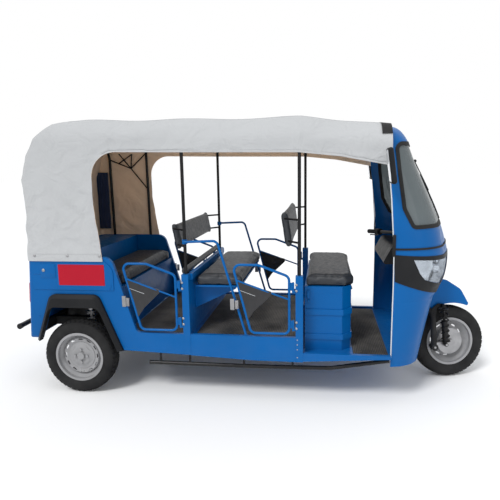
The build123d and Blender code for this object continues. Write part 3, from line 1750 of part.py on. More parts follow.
# Assembly
os.makedirs("parts", exist_ok=True)
posts = [post(mid_post_x, skirt_mid_height), post(front_post_x, skirt_low_height)]
right_doors = {"rear": mid_post_x, "front": front_post_x}
nodes = {}
nodes["quarter_panels"] = apart(quarter_panel(), left(quarter_panel()))
nodes["wheel_flares"] = apart(flare(), left(flare()))
nodes["side_plates"] = apart(side_plate(), left(side_plate()))
nodes["tail_panel"] = tail_panel()
nodes["tail_lamps"] = tail_lamps()
nodes["rear_deck"] = rear_deck()
nodes["floor_pan"] = floor_pan() + cab_floor()
nodes["floor_mats"] = floor_mats()
nodes["ladder_frame"] = ladder_frame() + shock_tower() + left(shock_tower())
nodes["sill_panels"] = apart(sill_panel(), step_panel(), left(sill_panel()), left(step_panel()))
nodes["door_posts"] = apart(*posts, *[left(one) for one in posts])
nodes["mid_bulkhead"] = mid_bulkhead() + mid_seat_board()
nodes["grab_roll"] = grab_roll()
nodes["bench_cushions"] = bench_cushions()
nodes["backrests"] = backrests()
nodes["seat_box"] = seat_box()
nodes["seat_lid"] = seat_lid()
nodes["driver_cushion"] = driver_cushion()
nodes["canopy"] = canopy()
nodes["roof_hoops"] = roof_hoops()
nodes["front_cowl"] = front_cowl()
nodes["cab_upper"] = cab_upper()
nodes["windscreen_glass"] = windscreen_glass()
nodes["rubber_trims"] = apart(windscreen_seal(nodes["cab_upper"]), belt_strip(), canopy_trim())
nodes["headlamp_trims"] = headlamp_trims()
nodes["headlamp_bowls"] = headlamp_bowls()
nodes["headlamp_lenses"] = headlamp_lenses()
nodes["dashboard"] = dashboard()
nodes["steering_head"] = steering_head()
nodes["mirrors"] = apart(side_mirror(), left(side_mirror()))
nodes["guard_tubes"] = apart(guard_tube(), left(guard_tube()), rear_bumper())
nodes["jamb_tubes"] = apart(jamb_tube(), left(jamb_tube()))
hinge_sets = [door_hinges(x) for x in right_doors.values()]
nodes["door_hinges"] = apart(*hinge_sets, *[left(one) for one in hinge_sets])
for place, x in right_doors.items():
    nodes[f"door_{place}_right"] = door_frame(x)
    nodes[f"door_{place}_left"] = left(door_frame(x))
    nodes[f"pouch_{place}_right"] = door_pouch(x)
    nodes[f"pouch_{place}_left"] = left(door_pouch(x))
nodes["engine_block"] = engine_block()
nodes["rear_arms"] = apart(rear_arm(), left(rear_arm()))
nodes["rear_shocks"] = apart(rear_shock(), left(rear_shock()))
hub = Pos(0, -rear_track / 2, tyre_radius)
nodes["rear_rim_right"] = hub * wheel_rim()
nodes["rear_tyre_right"] = hub * wheel_tyre()
nodes["rear_rim_left"] = left(nodes["rear_rim_right"])
nodes["rear_tyre_left"] = left(nodes["rear_tyre_right"])

front_hub = Pos(wheelbase, 0, tyre_radius)
steered = {
    "fork": fork(),
    "handlebar": handlebar(),
    "grips": grips(),
    "front_link": front_link(),
    "front_shock": front_shock(),
    "mudguard": mudguard(),
    "front_rim": front_hub * left(wheel_rim()),
    "front_tyre": front_hub * wheel_tyre(),
}
steered = {name: turned(shape) for name, shape in steered.items()}
sink = steered["front_tyre"].bounding_box().min.Z
settle = Pos(*[-sink / math.cos(rake) * part for part in steer_up])
nodes.update({name: settle * shape for name, shape in steered.items()})

boxes = [shape.bounding_box() for shape in nodes.values()]
shift = -(min(box.min.X for box in boxes) + max(box.max.X for box in boxes)) / 2
for name, shape in nodes.items():
    export_step(Pos(shift, 0, 0) * shape, f"parts/{name}.step")

# Places that the record of joints and mounts repeats, in millimetres
front_axle = turned(front_hub * Sphere(axle_radius)).center() + settle.position
print("shift", round(shift, 3), "rest height of the front wheel changed by", round(-sink, 3))
print("front axle", [round(part, 3) for part in front_axle + Vector(shift, 0, 0)])
print("head", [round(part, 3) for part in Vector(*on_stem(head_top_height)) + Vector(shift, 0, 0)])
print("lid pivot", [round(part, 3) for part in (lid_pivot()[0] + shift, 0, lid_pivot()[1])])
for place, x in right_doors.items():
    print(place, "door pivot", round(x - door_hinge_offset + hinge_offset + shift, 3), -door_plane)
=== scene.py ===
# %% [markdown]
# # A long canvas-topped auto rickshaw
# The real vehicle is a steel body with two passenger benches under a canvas hood stretched over hoops.
# The imported CAD model already holds its panels, tubes and wheels at their true sizes, so it is loaded
# as it is and only gets materials. What CAD makes badly is made here: cloth that sags, pads that swell,
# treads, seams and small fittings. Each of these rides with the part that carries it.

# %% Load the frame
import bpy
import json
import math
import numpy as np
from mathutils import Matrix, Vector


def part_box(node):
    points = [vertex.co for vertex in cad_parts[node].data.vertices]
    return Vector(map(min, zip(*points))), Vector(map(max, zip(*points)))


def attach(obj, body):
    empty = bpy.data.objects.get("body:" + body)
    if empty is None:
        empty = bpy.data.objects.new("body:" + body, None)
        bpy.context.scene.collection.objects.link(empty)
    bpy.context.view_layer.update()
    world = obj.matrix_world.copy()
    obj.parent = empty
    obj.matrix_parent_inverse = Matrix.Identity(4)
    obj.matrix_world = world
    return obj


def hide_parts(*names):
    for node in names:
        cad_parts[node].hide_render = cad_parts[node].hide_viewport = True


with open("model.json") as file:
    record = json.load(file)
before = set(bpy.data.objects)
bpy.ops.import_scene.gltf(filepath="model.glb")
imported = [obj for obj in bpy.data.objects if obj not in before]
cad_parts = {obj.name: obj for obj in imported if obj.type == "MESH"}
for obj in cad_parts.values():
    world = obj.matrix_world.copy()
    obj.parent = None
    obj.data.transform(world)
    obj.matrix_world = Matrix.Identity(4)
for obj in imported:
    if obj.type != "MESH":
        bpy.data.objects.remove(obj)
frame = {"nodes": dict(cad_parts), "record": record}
bpy.ops.object.select_all(action="DESELECT")
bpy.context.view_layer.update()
NODES = frame["nodes"]
BODIES = frame["record"]["behaviour"]["bodies"]
BODY = {node: body for body, members in BODIES.items() for node in members}
SLOT = {row["node"]: row["material_slot"] for row in frame["record"]["subparts"]}

# %% [markdown]
# The drawing of the vehicle counts millimetres from the rear axle, while Blender counts metres from the
# middle of the frame. One small function carries a point from the first to the second, so that every
# place below can be checked against the drawing.

# %% Places in millimetres
ORIGIN_X = -1.170622
MM = 0.001


def at(x, y, z):
    """Point given in millimetres from the rear axle, as metres in the frame."""
    return Vector((x * MM + ORIGIN_X, y * MM, z * MM))


print("rear axle stands at", at(0, 0, 0))

# %% [markdown]
# ## Colours
# The body is a deep bright blue, the hood a pale grey canvas and everything else nearly black. The colours
# are kept in one place and in linear light, so that a whole finish can be changed by one line.

# %% Colours
BLUE = (0.0, 0.10, 0.335)
NAVY = (0.004, 0.02, 0.075)
DUST = (0.12, 0.12, 0.115)
CANVAS = (0.46, 0.47, 0.48)
CHARCOAL = (0.014, 0.0165, 0.021)
BLACK = (0.008, 0.008, 0.009)
RED = (0.42, 0.006, 0.022)
materials = {}
print("body blue", BLUE, "canvas", CANVAS)

# %% [markdown]
# ## How a material is built
# No real surface has one colour. Every material here is a node tree that reads the object's own coordinates,
# lets the colour and the roughness drift with noise, and adds a little relief. A picture could do that
# too, but noise needs no file, never repeats and stays sharp from near. These helpers add one step each.

# %% Node helpers
def tree(name):
    """New node material with its shader and coordinates."""
    mat = bpy.data.materials.new(name)
    mat.use_nodes = True
    nodes = mat.node_tree.nodes
    shader = nodes["Principled BSDF"]
    place = nodes.new("ShaderNodeTexCoord")
    materials[name] = mat
    return mat, nodes, mat.node_tree.links, shader, place


def noise(nodes, links, place, scale, detail=4.0):
    """Noise texture at a scale per metre."""
    tex = nodes.new("ShaderNodeTexNoise")
    tex.inputs["Scale"].default_value = scale
    tex.inputs["Detail"].default_value = detail
    links.new(place.outputs["Object"], tex.inputs["Vector"])
    return tex.outputs["Fac"]


def spread(nodes, links, source, low, high, from_low=0.3, from_high=0.7):
    """Value carried from one range to another."""
    node = nodes.new("ShaderNodeMapRange")
    node.inputs["From Min"].default_value = from_low
    node.inputs["From Max"].default_value = from_high
    node.inputs["To Min"].default_value = low
    node.inputs["To Max"].default_value = high
    links.new(source, node.inputs["Value"])
    return node.outputs["Result"]


def blend_colours(nodes, links, factor, first, second):
    """Colour mixed between two by a factor; either may be a socket."""
    node = nodes.new("ShaderNodeMix")
    node.data_type = "RGBA"
    links.new(factor, node.inputs["Factor"])
    for value, key in ((first, "A"), (second, "B")):
        socket = [s for s in node.inputs if s.name == key and s.type == "RGBA"][0]
        if isinstance(value, bpy.types.NodeSocket):
            links.new(value, socket)
        else:
            socket.default_value = (*value, 1)
    return [s for s in node.outputs if s.type == "RGBA"][0]


def relief(nodes, links, shader, height, strength, distance):
    """Bump from a height; the node is returned so that a coarser bump can feed it."""
    bump = nodes.new("ShaderNodeBump")
    bump.inputs["Strength"].default_value = strength
    bump.inputs["Distance"].default_value = distance
    links.new(height, bump.inputs["Height"])
    links.new(bump.outputs["Normal"], shader.inputs["Normal"])
    return bump


def shade(colour, share):
    """Colour made darker or lighter."""
    return tuple(min(1, c * share) for c in colour)


# %% [markdown]
# ## Painted steel
# Sprayed panels are smooth, with a fine peel that only shows in reflections, and dust gathers towards the
# road. The height of a point is read from its Z coordinate and multiplied with noise, so that the dust
# ends in a ragged line and not in a straight one.

# %% Paint
def paint(name, colour, rough=0.3, coat=0.08, dirt=0.1, grain=0.05):
    """Sprayed paint: slow drift of colour, fine peel, and dust towards the road."""
    mat, nodes, links, shader, place = tree(name)
    drift = spread(nodes, links, noise(nodes, links, place, 2.2), 0, 1)
    base = blend_colours(nodes, links, drift, shade(colour, 0.93), shade(colour, 1.08))
    split = nodes.new("ShaderNodeSeparateXYZ")
    links.new(place.outputs["Object"], split.inputs["Vector"])
    low = spread(nodes, links, split.outputs["Z"], dirt, 0, 0.15, 0.62)
    patch = nodes.new("ShaderNodeMath")
    patch.operation = "MULTIPLY"
    links.new(low, patch.inputs[0])
    links.new(spread(nodes, links, noise(nodes, links, place, 9), 0.1, 1), patch.inputs[1])
    base = blend_colours(nodes, links, patch.outputs[0], base, DUST)
    links.new(base, shader.inputs["Base Color"])
    gloss = spread(nodes, links, noise(nodes, links, place, 30), rough, rough + 0.14)
    links.new(gloss, shader.inputs["Roughness"])
    shader.inputs["Coat Weight"].default_value = coat
    shader.inputs["Coat Roughness"].default_value = 0.08
    shader.inputs["Specular IOR Level"].default_value = 0.12
    relief(nodes, links, shader, noise(nodes, links, place, 140), grain, 0.002)
    return mat


# %% [markdown]
# ## Metal, plastic and rubber
# Bolts and shocks are bare or plated metal, and the trims, tyres and grips are moulded. Both are one
# shader with noise: metal varies in roughness, while moulded parts carry a fine grain and a film of dust.

# %% Metal and moulded parts
def metal(name, colour, rough, grain=0.15, scale=60):
    """Bare or plated metal with a broken-up finish."""
    mat, nodes, links, shader, place = tree(name)
    drift = spread(nodes, links, noise(nodes, links, place, scale * 0.2), 0, 1)
    base = blend_colours(nodes, links, drift, shade(colour, 0.8), shade(colour, 1.1))
    links.new(base, shader.inputs["Base Color"])
    shader.inputs["Metallic"].default_value = 1.0
    gloss = spread(nodes, links, noise(nodes, links, place, scale), rough, rough + 0.18)
    links.new(gloss, shader.inputs["Roughness"])
    relief(nodes, links, shader, noise(nodes, links, place, scale * 4), grain, 0.001)
    return mat


def moulded(name, colour, rough=0.5, scale=500, grain=0.25, dust=0.25):
    """Moulded plastic or rubber with a fine grain and a little dust."""
    mat, nodes, links, shader, place = tree(name)
    drift = spread(nodes, links, noise(nodes, links, place, 6), 0, dust)
    links.new(blend_colours(nodes, links, drift, colour, DUST), shader.inputs["Base Color"])
    gloss = spread(nodes, links, noise(nodes, links, place, 25), rough, rough + 0.15)
    links.new(gloss, shader.inputs["Roughness"])
    shader.inputs["Specular IOR Level"].default_value = 0.14
    relief(nodes, links, shader, noise(nodes, links, place, scale, 2), grain, 0.001)
    return mat


# %% [markdown]
# ## Seat cover, cloth and mats
# The seats wear a coated cloth with a pebbled grain, which small Voronoi cells imitate. The hood is
# woven: three crossed waves give threads on faces that look any way. The floor mat is ribbed rubber,
# and one wave drives both its relief and its colour: painted shade keeps the valleys dark, and patchy dust
# lightens the crests.

# %% Seat cover
def leather(name, colour):
    """Coated seat cover with a pebbled grain and a soft sheen on its crests."""
    mat, nodes, links, shader, place = tree(name)
    cells = nodes.new("ShaderNodeTexVoronoi")
    cells.inputs["Scale"].default_value = 420
    links.new(place.outputs["Object"], cells.inputs["Vector"])
    drift = spread(nodes, links, noise(nodes, links, place, 5), 0, 0.5)
    links.new(blend_colours(nodes, links, drift, colour, shade(colour, 2.2)), shader.inputs["Base Color"])
    gloss = spread(nodes, links, noise(nodes, links, place, 40), 0.42, 0.6)
    links.new(gloss, shader.inputs["Roughness"])
    relief(nodes, links, shader, cells.outputs["Distance"], 0.25, 0.0015)
    return mat


# %% Cloth
def woven(name, colour, stain, scale=900, sheen=0.2, lining=None, creases=0.0):
    """Woven cloth: crossed threads, slow stains, a dull sheen and, where asked, soft creases."""
    mat, nodes, links, shader, place = tree(name)
    threads = []
    for axis in ("X", "Y", "Z"):
        wave = nodes.new("ShaderNodeTexWave")
        wave.bands_direction = axis
        wave.inputs["Scale"].default_value = scale / 6
        wave.inputs["Distortion"].default_value = 0.6
        links.new(place.outputs["Object"], wave.inputs["Vector"])
        threads.append(wave.outputs["Fac"])
    total = nodes.new("ShaderNodeMath")
    total.operation = "ADD"
    links.new(threads[0], total.inputs[0])
    links.new(threads[1], total.inputs[1])
    both = nodes.new("ShaderNodeMath")
    both.operation = "ADD"
    links.new(total.outputs[0], both.inputs[0])
    links.new(threads[2], both.inputs[1])
    blot = spread(nodes, links, noise(nodes, links, place, 1.6, 6), 0, 0.55)
    cloth = blend_colours(nodes, links, blot, colour, stain)
    if lining:
        inside = nodes.new("ShaderNodeAttribute")
        inside.attribute_name = "inside"
        cloth = blend_colours(nodes, links, inside.outputs["Fac"], cloth, lining)
    links.new(cloth, shader.inputs["Base Color"])
    shader.inputs["Roughness"].default_value = 0.85
    shader.inputs["Sheen Weight"].default_value = sheen
    threads = relief(nodes, links, shader, both.outputs[0], 0.12, 0.0006)
    if creases:
        folds = nodes.new("ShaderNodeBump")
        folds.inputs["Strength"].default_value = creases
        folds.inputs["Distance"].default_value = 0.03
        rumple = noise(nodes, links, place, 7, 2.5)
        rumple.node.inputs["Distortion"].default_value = 1.2
        links.new(rumple, folds.inputs["Height"])
        links.new(folds.outputs["Normal"], threads.inputs["Normal"])
    return mat


# %% Ribbed mat
def ribbed(name, colour, dust_and_crest_light):
    """Rubber mat with ribs across the floor, painted shade in the valleys and patchy dust on the crests."""
    mat, nodes, links, shader, place = tree(name)
    wave = nodes.new("ShaderNodeTexWave")
    wave.bands_direction = "X"
    wave.wave_profile = "SIN"
    wave.inputs["Scale"].default_value = 26
    wave.inputs["Distortion"].default_value = 0.25
    links.new(place.outputs["Object"], wave.inputs["Vector"])
    # painted shade: the valleys of the ribs stay dark and the crests take the lighter dust colour, in noisy
    # patches
    dust_and_valley_shade = nodes.new("ShaderNodeMath")
    dust_and_valley_shade.operation = "MULTIPLY"
    links.new(spread(nodes, links, noise(nodes, links, place, 5, 8), 0.05, 1.0), dust_and_valley_shade.inputs[0])
    links.new(spread(nodes, links, wave.outputs["Fac"], 0.35, 1.0, 0, 1), dust_and_valley_shade.inputs[1])
    links.new(blend_colours(nodes, links, dust_and_valley_shade.outputs[0], colour, dust_and_crest_light), shader.inputs["Base Color"])
    shader.inputs["Roughness"].default_value = 0.75
    shader.inputs["Specular IOR Level"].default_value = 0.25
    relief(nodes, links, shader, wave.outputs["Fac"], 0.6, 0.003)
    return mat


# %% [markdown]
# ## Glass
# A pane of this vehicle is a few millimetres thick. True refraction would darken the cab and take
# many samples, so light passes straight through and a thin grey veil lies over it.

# %% Glass
def clear(name, tint, veil, veil_share, rough=0.03):
    """Pane that lets light through and holds a tinted veil."""
    mat, nodes, links, shader, place = tree(name)
    see = nodes.new("ShaderNodeBsdfTransparent")
    see.inputs["Color"].default_value = (*tint, 1)
    shader.inputs["Roughness"].default_value = rough
    drift = spread(nodes, links, noise(nodes, links, place, 3), 0, 1)
    base = blend_colours(nodes, links, drift, shade(veil, 0.85), shade(veil, 1.1))
    links.new(base, shader.inputs["Base Color"])
    mix = nodes.new("ShaderNodeMixShader")
    mix.inputs["Fac"].default_value = veil_share
    links.new(see.outputs["BSDF"], mix.inputs[1])
    links.new(shader.outputs["BSDF"], mix.inputs[2])
    links.new(mix.outputs["Shader"], nodes["Material Output"].inputs["Surface"])
    return mat


# %% The finishes of this vehicle
paint("blue_paint", BLUE)
paint("black_paint", BLACK, rough=0.35, coat=0.2, dirt=0.12)
paint("dark_frame", (0.014, 0.014, 0.015), rough=0.55, coat=0.0, dirt=0.45, grain=0.2)
paint("red_paint", RED, rough=0.45, coat=0.1, dirt=0)
paint("wheel_paint", (0.33, 0.33, 0.34), rough=0.32, coat=0.2, dirt=0.3)
paint("beading", (0.62, 0.64, 0.66), rough=0.4, coat=0.1, dirt=0.1)
metal("chrome", (0.82, 0.83, 0.85), 0.06, 0.02)
metal("steel", (0.36, 0.36, 0.37), 0.34)
metal("cast_iron", (0.09, 0.09, 0.09), 0.6, 0.5, 40)
metal("mirror", (0.85, 0.87, 0.9), 0.02, 0.0)
moulded("rubber", (0.012, 0.012, 0.013), 0.6, dust=0.12)
moulded("tyre", (0.011, 0.011, 0.012), 0.72, 300, 0.35, 0.16)
moulded("black_plastic", (0.01, 0.0105, 0.012), 0.42, 700, 0.3, 0.05)
moulded("lamp_red", (0.42, 0.01, 0.008), 0.2, 60, 0.3, 0.02)
leather("seat_cover", CHARCOAL)
woven("canvas", CANVAS, shade(CANVAS, 0.9), lining=(0.88, 0.68, 0.5), creases=0.55)
woven("black_canvas", (0.02, 0.02, 0.022), (0.035, 0.035, 0.038), creases=0.4)
woven("dark_canvas", NAVY, shade(NAVY, 0.6))
ribbed("ribbed_mat", (0.022, 0.022, 0.023), (0.15, 0.14, 0.125))
clear("glass", (0.45, 0.49, 0.5), (0.17, 0.2, 0.21), 0.55)
clear("clear_lens", (0.9, 0.92, 0.94), (0.5, 0.53, 0.56), 0.1)
print("materials", len(materials))

# %% [markdown]
# The record names a slot for every node, and each slot is the name of a finish. Two nodes get a finer
# look than their slot says: the mats are ribbed, and the front shock is painted.

# %% Finishes on the CAD nodes
LOOK = {"floor_mats": "ribbed_mat", "front_shock": "black_paint"}
for node, thing in NODES.items():
    thing.data.materials.clear()
    thing.data.materials.append(materials[LOOK.get(node, SLOT[node])])
print("nodes dressed", len(NODES))

# %% [markdown]
# ## Mesh helpers
# A finished piece sits at the origin with its place in its vertices, just as a CAD node does, so that
# it can move with its joint. One helper applies the transform, gives the name and the
# material, and says which body the piece rides on. The others copy a node, split it into its solids,
# apply a modifier at once, and cut a mesh into a grid that can bend.

# %% Pieces that ride
def settle(obj, name, material, body):
    """Names a finished piece, gives it its material and lets it ride."""
    bpy.ops.object.select_all(action="DESELECT")
    obj.select_set(True)
    bpy.context.view_layer.objects.active = obj
    bpy.ops.object.transform_apply(location=True, rotation=True, scale=True)
    bpy.ops.object.select_all(action="DESELECT")
    obj.name = name
    obj.data.name = name
    obj.data.materials.clear()
    obj.data.materials.append(materials[material])
    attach(obj, body)
    return obj


# %% Selecting and copying
def work_on(obj):
    """Makes one object the selected and active one."""
    bpy.ops.object.select_all(action="DESELECT")
    obj.select_set(True)
    bpy.context.view_layer.objects.active = obj


def merge(obj):
    """Merges the doubled points that a CAD mesh has along its edges."""
    work_on(obj)
    bpy.ops.object.mode_set(mode="EDIT")
    bpy.ops.mesh.select_all(action="SELECT")
    bpy.ops.mesh.remove_doubles(threshold=1e-5)
    bpy.ops.object.mode_set(mode="OBJECT")


def copy_of(node):
    """Own mesh copied from a CAD node."""
    obj = NODES[node].copy()
    obj.data = NODES[node].data.copy()
    obj.parent = None
    for key in list(obj.keys()):
        del obj[key]
    bpy.context.scene.collection.objects.link(obj)
    work_on(obj)
    bpy.ops.mesh.customdata_custom_splitnormals_clear()
    return obj


# %% Solids, modifiers and cuts
def split_solids(obj):
    """The separate solids of a mesh, ordered along X and then Y."""
    merge(obj)
    bpy.ops.object.mode_set(mode="EDIT")
    bpy.ops.mesh.select_all(action="SELECT")
    bpy.ops.mesh.separate(type="LOOSE")
    bpy.ops.object.mode_set(mode="OBJECT")
    pieces = list(bpy.context.selected_objects)
    bpy.ops.object.select_all(action="DESELECT")
    middle = lambda o: tuple(round(v, 3) for v in np.mean([v.co for v in o.data.vertices], axis=0))
    return sorted(pieces, key=middle)


def add_modifier(obj, kind, **values):
    """Adds a modifier, sets it and applies it at once."""
    work_on(obj)
    bpy.ops.object.modifier_add(type=kind)
    modifier = obj.modifiers[-1]
    for key, value in values.items():
        setattr(modifier, key, value)
    bpy.ops.object.modifier_apply(modifier=modifier.name)


def slice_grid(obj, axis, low, high, step):
    """Cuts a mesh by parallel planes so that it can bend between them."""
    work_on(obj)
    bpy.ops.object.mode_set(mode="EDIT")
    normal = tuple(1.0 if i == axis else 0.0 for i in range(3))
    for k in range(1, int((high - low) / step)):
        spot = [0.0, 0.0, 0.0]
        spot[axis] = low + k * step
        bpy.ops.mesh.select_all(action="SELECT")
        bpy.ops.mesh.bisect(plane_co=spot, plane_no=normal)
    bpy.ops.mesh.select_all(action="SELECT")
    bpy.ops.mesh.remove_doubles(threshold=2e-4)
    bpy.ops.object.mode_set(mode="OBJECT")


# %% Shading and vertex places
def smooth(obj, angle=40):
    """Smooth shading below an angle."""
    work_on(obj)
    bpy.ops.object.shade_smooth_by_angle(angle=math.radians(angle))


def coordinates(obj):
    """Vertex places as an array."""
    co = np.zeros(len(obj.data.vertices) * 3)
    obj.data.vertices.foreach_get("co", co)
    return co.reshape(-1, 3)


def move_to(obj, co):
    """Writes an array of vertex places back."""
    obj.data.vertices.foreach_set("co", co.reshape(-1))
    obj.data.update()


# %% [markdown]
# ## Canvas canopy
# The hood is one canvas, laced tight over five hoops and studded to the body at its rear corners. It
# sags a little between the hoops, hangs in soft folds at the sides and creases where it is gathered.
# A cloth simulation would find such folds by chance. Here the CAD sheet is cut into a fine grid and
# moved by sums of waves instead, because each fold can then be put where the real one lies, and the
# movement can fade to nothing at hoops and hem.

# %% Sizes of the canvas's form, in millimetres
HOOPS = [-205, 140, 790, 1553, 2085]
BOWS = (1508, 1674, 1787)
HOOP_HOLD = 55
BOW_HOLD = 30
BOW_PUSH = 4
SAG_LEAST = 3
SAG_SHARE = 0.013
ROOF = (1760, 110)
AHEAD_OF_TAIL = (-260, 120)
SIDE = (470, 90)
VALANCE = (190, 120)
VALANCE_EDGE = (-1740, 120)
ABOVE_HEM = (1012, 70)
UNDER_IRONS = (-1480, 160)
REAR_CORNER = (120, 60)
BACK = (300, 40)
HANG = 5.5
FOLD_DEPTH = 5.0
WAVE_DEPTH = 2.5
DRAW_IN = 7.5
CREASE_DEPTH = 6.5
GATHER_HEIGHT = 1024
GATHER_REACH = 26
GATHER_DEPTH = 1.3
OUT_MOST = -2.0
IN_MOST = 17
PLEAT = 7


# %% The form of the canvas
def fade(value, window):
    """0 up to the window's start, then rising to 1 over its length."""
    start, length = window
    return np.clip((value - start) / length, 0, 1)


def roof_sag(x):
    """Drop of the roof between its hoops: the wider they stand, the deeper it hangs."""
    sag = np.zeros(len(x))
    for a, b in zip(HOOPS, HOOPS[1:]):
        share = np.clip((x - a) / (b - a), 0, 1)
        sag += np.sin(share * math.pi) ** 2 * (SAG_LEAST + SAG_SHARE * (b - a))
    return sag


def hanging_folds(x, z, free):
    """Soft level folds of the valance, and waves along its lower edge."""
    fold = np.sin((z - 1700 - 0.06 * (x - 200)) / 30 + 1.2 * np.sin(x / 260))
    fold = fold + 0.35 * np.sin(x / 95 + z / 70)
    wave = np.sin(x / 88 + 1.5 * np.sin(x / 230)) * fade(-z, VALANCE_EDGE)
    return (HANG + FOLD_DEPTH * fold + WAVE_DEPTH * wave) * (0.3 + 0.7 * free)


def rear_creases(x, z, free):
    """Sharp slanting creases that run from the studded hem up to the opening's corner."""
    slant = (z - 985) + 1.15 * (x + 345) + 30 * np.sin((x - 0.5 * z) / 150)
    ridge = np.abs(np.sin(slant / 66)) ** 0.8 * 2 - 1
    crease = ridge + 0.5 * np.sin(slant / 27 + z / 120)
    window = fade(z, ABOVE_HEM) * (0.25 + 0.75 * fade(-z, UNDER_IRONS))
    return window * (DRAW_IN + CREASE_DEPTH * crease) * (0.25 + 0.75 * free)


def canvas_form(co):
    """Moves points of the sheet: sag between hoops, folds in the sides, creases at the gathered rear."""
    x = (co[:, 0] - ORIGIN_X) / MM
    y = co[:, 1] / MM
    z = co[:, 2] / MM
    out = co.copy()
    free = np.ones(len(co))
    for hoop_x in HOOPS:
        free *= 1 - np.exp(-((x - hoop_x) / HOOP_HOLD) ** 2)
    out[:, 2] -= roof_sag(x) * fade(z, ROOF) * fade(x, AHEAD_OF_TAIL) * MM
    front = fade(x, VALANCE)
    gather = np.exp(-((z - GATHER_HEIGHT) / GATHER_REACH) ** 2) * (1 - front)
    gather = gather * (1 + np.sin(x / 13)) * GATHER_DEPTH
    inward = front * hanging_folds(x, z, free) + (1 - front) * rear_creases(x, z, free) + gather
    out[:, 1] -= np.sign(y) * fade(np.abs(y), SIDE) * np.clip(inward, OUT_MOST, IN_MOST) * MM
    pleat = PLEAT + 4 * np.sin(y / 62 + z / 130) + 2.5 * np.sin(y / 27 - z / 90)
    out[:, 0] += fade(-x, BACK) * fade(z, ABOVE_HEM) * pleat * MM
    bows = sum(np.exp(-((z - h) / BOW_HOLD) ** 2) for h in BOWS)
    out[:, 0] -= fade(-x, REAR_CORNER) * bows * BOW_PUSH * MM
    return out


# %% [markdown]
# The canvas is grey outside and brown inside. An attribute on the faces tells the material which side it
# colours: a face whose normal points at the cabin belongs to the lining.

# %% The lining's side
def mark_inside(obj, middle=1350):
    """Stores 1 on the faces that look inwards, for the lining's colour."""
    mesh = obj.data
    layer = mesh.attributes.new("inside", "FLOAT", "FACE")
    for face in mesh.polygons:
        c = face.center
        target = Vector((min(max(c.x, at(80, 0, 0).x), at(2050, 0, 0).x), 0, middle * MM))
        layer.data[face.index].value = 1.0 if face.normal.dot(target - c) > 0 else 0.0


# %% Cut, fold and fit the canopy
GRID_STEPS = (0.022, 0.034, 0.022)
canopy = copy_of("canopy")
merge(canopy)
low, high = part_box("canopy")
for axis, step in enumerate(GRID_STEPS):
    slice_grid(canopy, axis, low[axis], high[axis], step)
move_to(canopy, canvas_form(coordinates(canopy)))
mark_inside(canopy)
smooth(canopy, 50)
settle(canopy, "canvas_canopy", "canvas", BODY["canopy"])
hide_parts("canopy")
print("canopy faces", len(canopy.data.polygons))

# %% [markdown]
# ## Seams
# Canvas panels are joined by stitched seams and end in a turned hem. Each seam is a thin strand laid on
# the finished cloth: rays are sent at the canopy, and the strand follows the points where they land,
# so it keeps to every fold. The same strand makes piping, beads and the wiper later on.

# %% Strands, joined pieces and rays
def strand(points, radius, closed=False):
    """Round strand along points in metres, as a mesh."""
    curve = bpy.data.curves.new("strand", "CURVE")
    curve.dimensions = "3D"
    curve.bevel_depth = radius
    curve.bevel_resolution = 2
    curve.use_fill_caps = True
    line = curve.splines.new("POLY")
    line.points.add(len(points) - 1)
    for point, place in zip(line.points, points):
        point.co = (*place, 1)
    line.use_cyclic_u = closed
    obj = bpy.data.objects.new("strand", curve)
    bpy.context.scene.collection.objects.link(obj)
    work_on(obj)
    bpy.ops.object.convert(target="MESH")
    return bpy.context.object


def join(objs, name, material, body, angle=40):
    """Joins like pieces into one, ready to ride."""
    bpy.ops.object.select_all(action="DESELECT")
    for obj in objs:
        obj.select_set(True)
    bpy.context.view_layer.objects.active = objs[0]
    if len(objs) > 1:
        bpy.ops.object.join()
    obj = bpy.context.object
    smooth(obj, angle)
    return settle(obj, name, material, body)


def hit(obj, start, aim):
    """Point where a ray meets a mesh, or nothing."""
    found, place, normal, index = obj.ray_cast(Vector(start), Vector(aim))
    return place if found else None


# %% Seams of the canopy
def roof_seam(y):
    """Stitched seam along the roof at one distance from the middle."""
    rows = [hit(canopy, (at(x, y, 0).x, y * MM, 2.4), (0, 0, -1)) for x in range(-60, 2110, 30)]
    return strand([p + Vector((0, 0, 0.0006)) for p in rows if p], 0.0022)


def hem_line(side):
    """Turned hem along the valance's lower edge, found from below."""
    rows = []
    for x in range(250, 2112, 24):
        for z in range(1500, 1720, 6):
            p = hit(canopy, (at(x, 0, 0).x, side * 0.75, z * MM), (0, -side, 0))
            if p and abs(p.y) > 0.5 and p.y * side > 0:
                rows.append(p + Vector((0, side * 0.0006, 0.014)))
                break
    return strand(rows, 0.0016)


seams = [roof_seam(y) for y in (-440, 440)] + [hem_line(side) for side in (-1, 1)]
for side in (-1, 1):
    rows = [hit(canopy, (at(x, 0, 0).x, side * 0.75, 1.006), (0, -side, 0)) for x in range(-325, 215, 20)]
    seams.append(strand([p + Vector((0, side * 0.0006, 0)) for p in rows if p], 0.0016))
join(seams, "canopy_seams", "canvas", BODY["canopy"])
print("seams", len(seams))

# %% [markdown]
# ## Seats
# A seat pad is foam in a tight cover. Its faces bulge a little and its edges stay round, which no bevel
# imitates well. The CAD pad is remeshed into even quads and blown up by a short cloth simulation under
# pressure. The movement of each point is then capped, so that the pad never grows past its real size.
# Piping covers the seams of the cover, found again by rays.

# %% A padded piece
PAD_INSET = np.array([0.006, 0.006, 0.004])
PRESSURE = 4
CLOTH_STEPS = 12


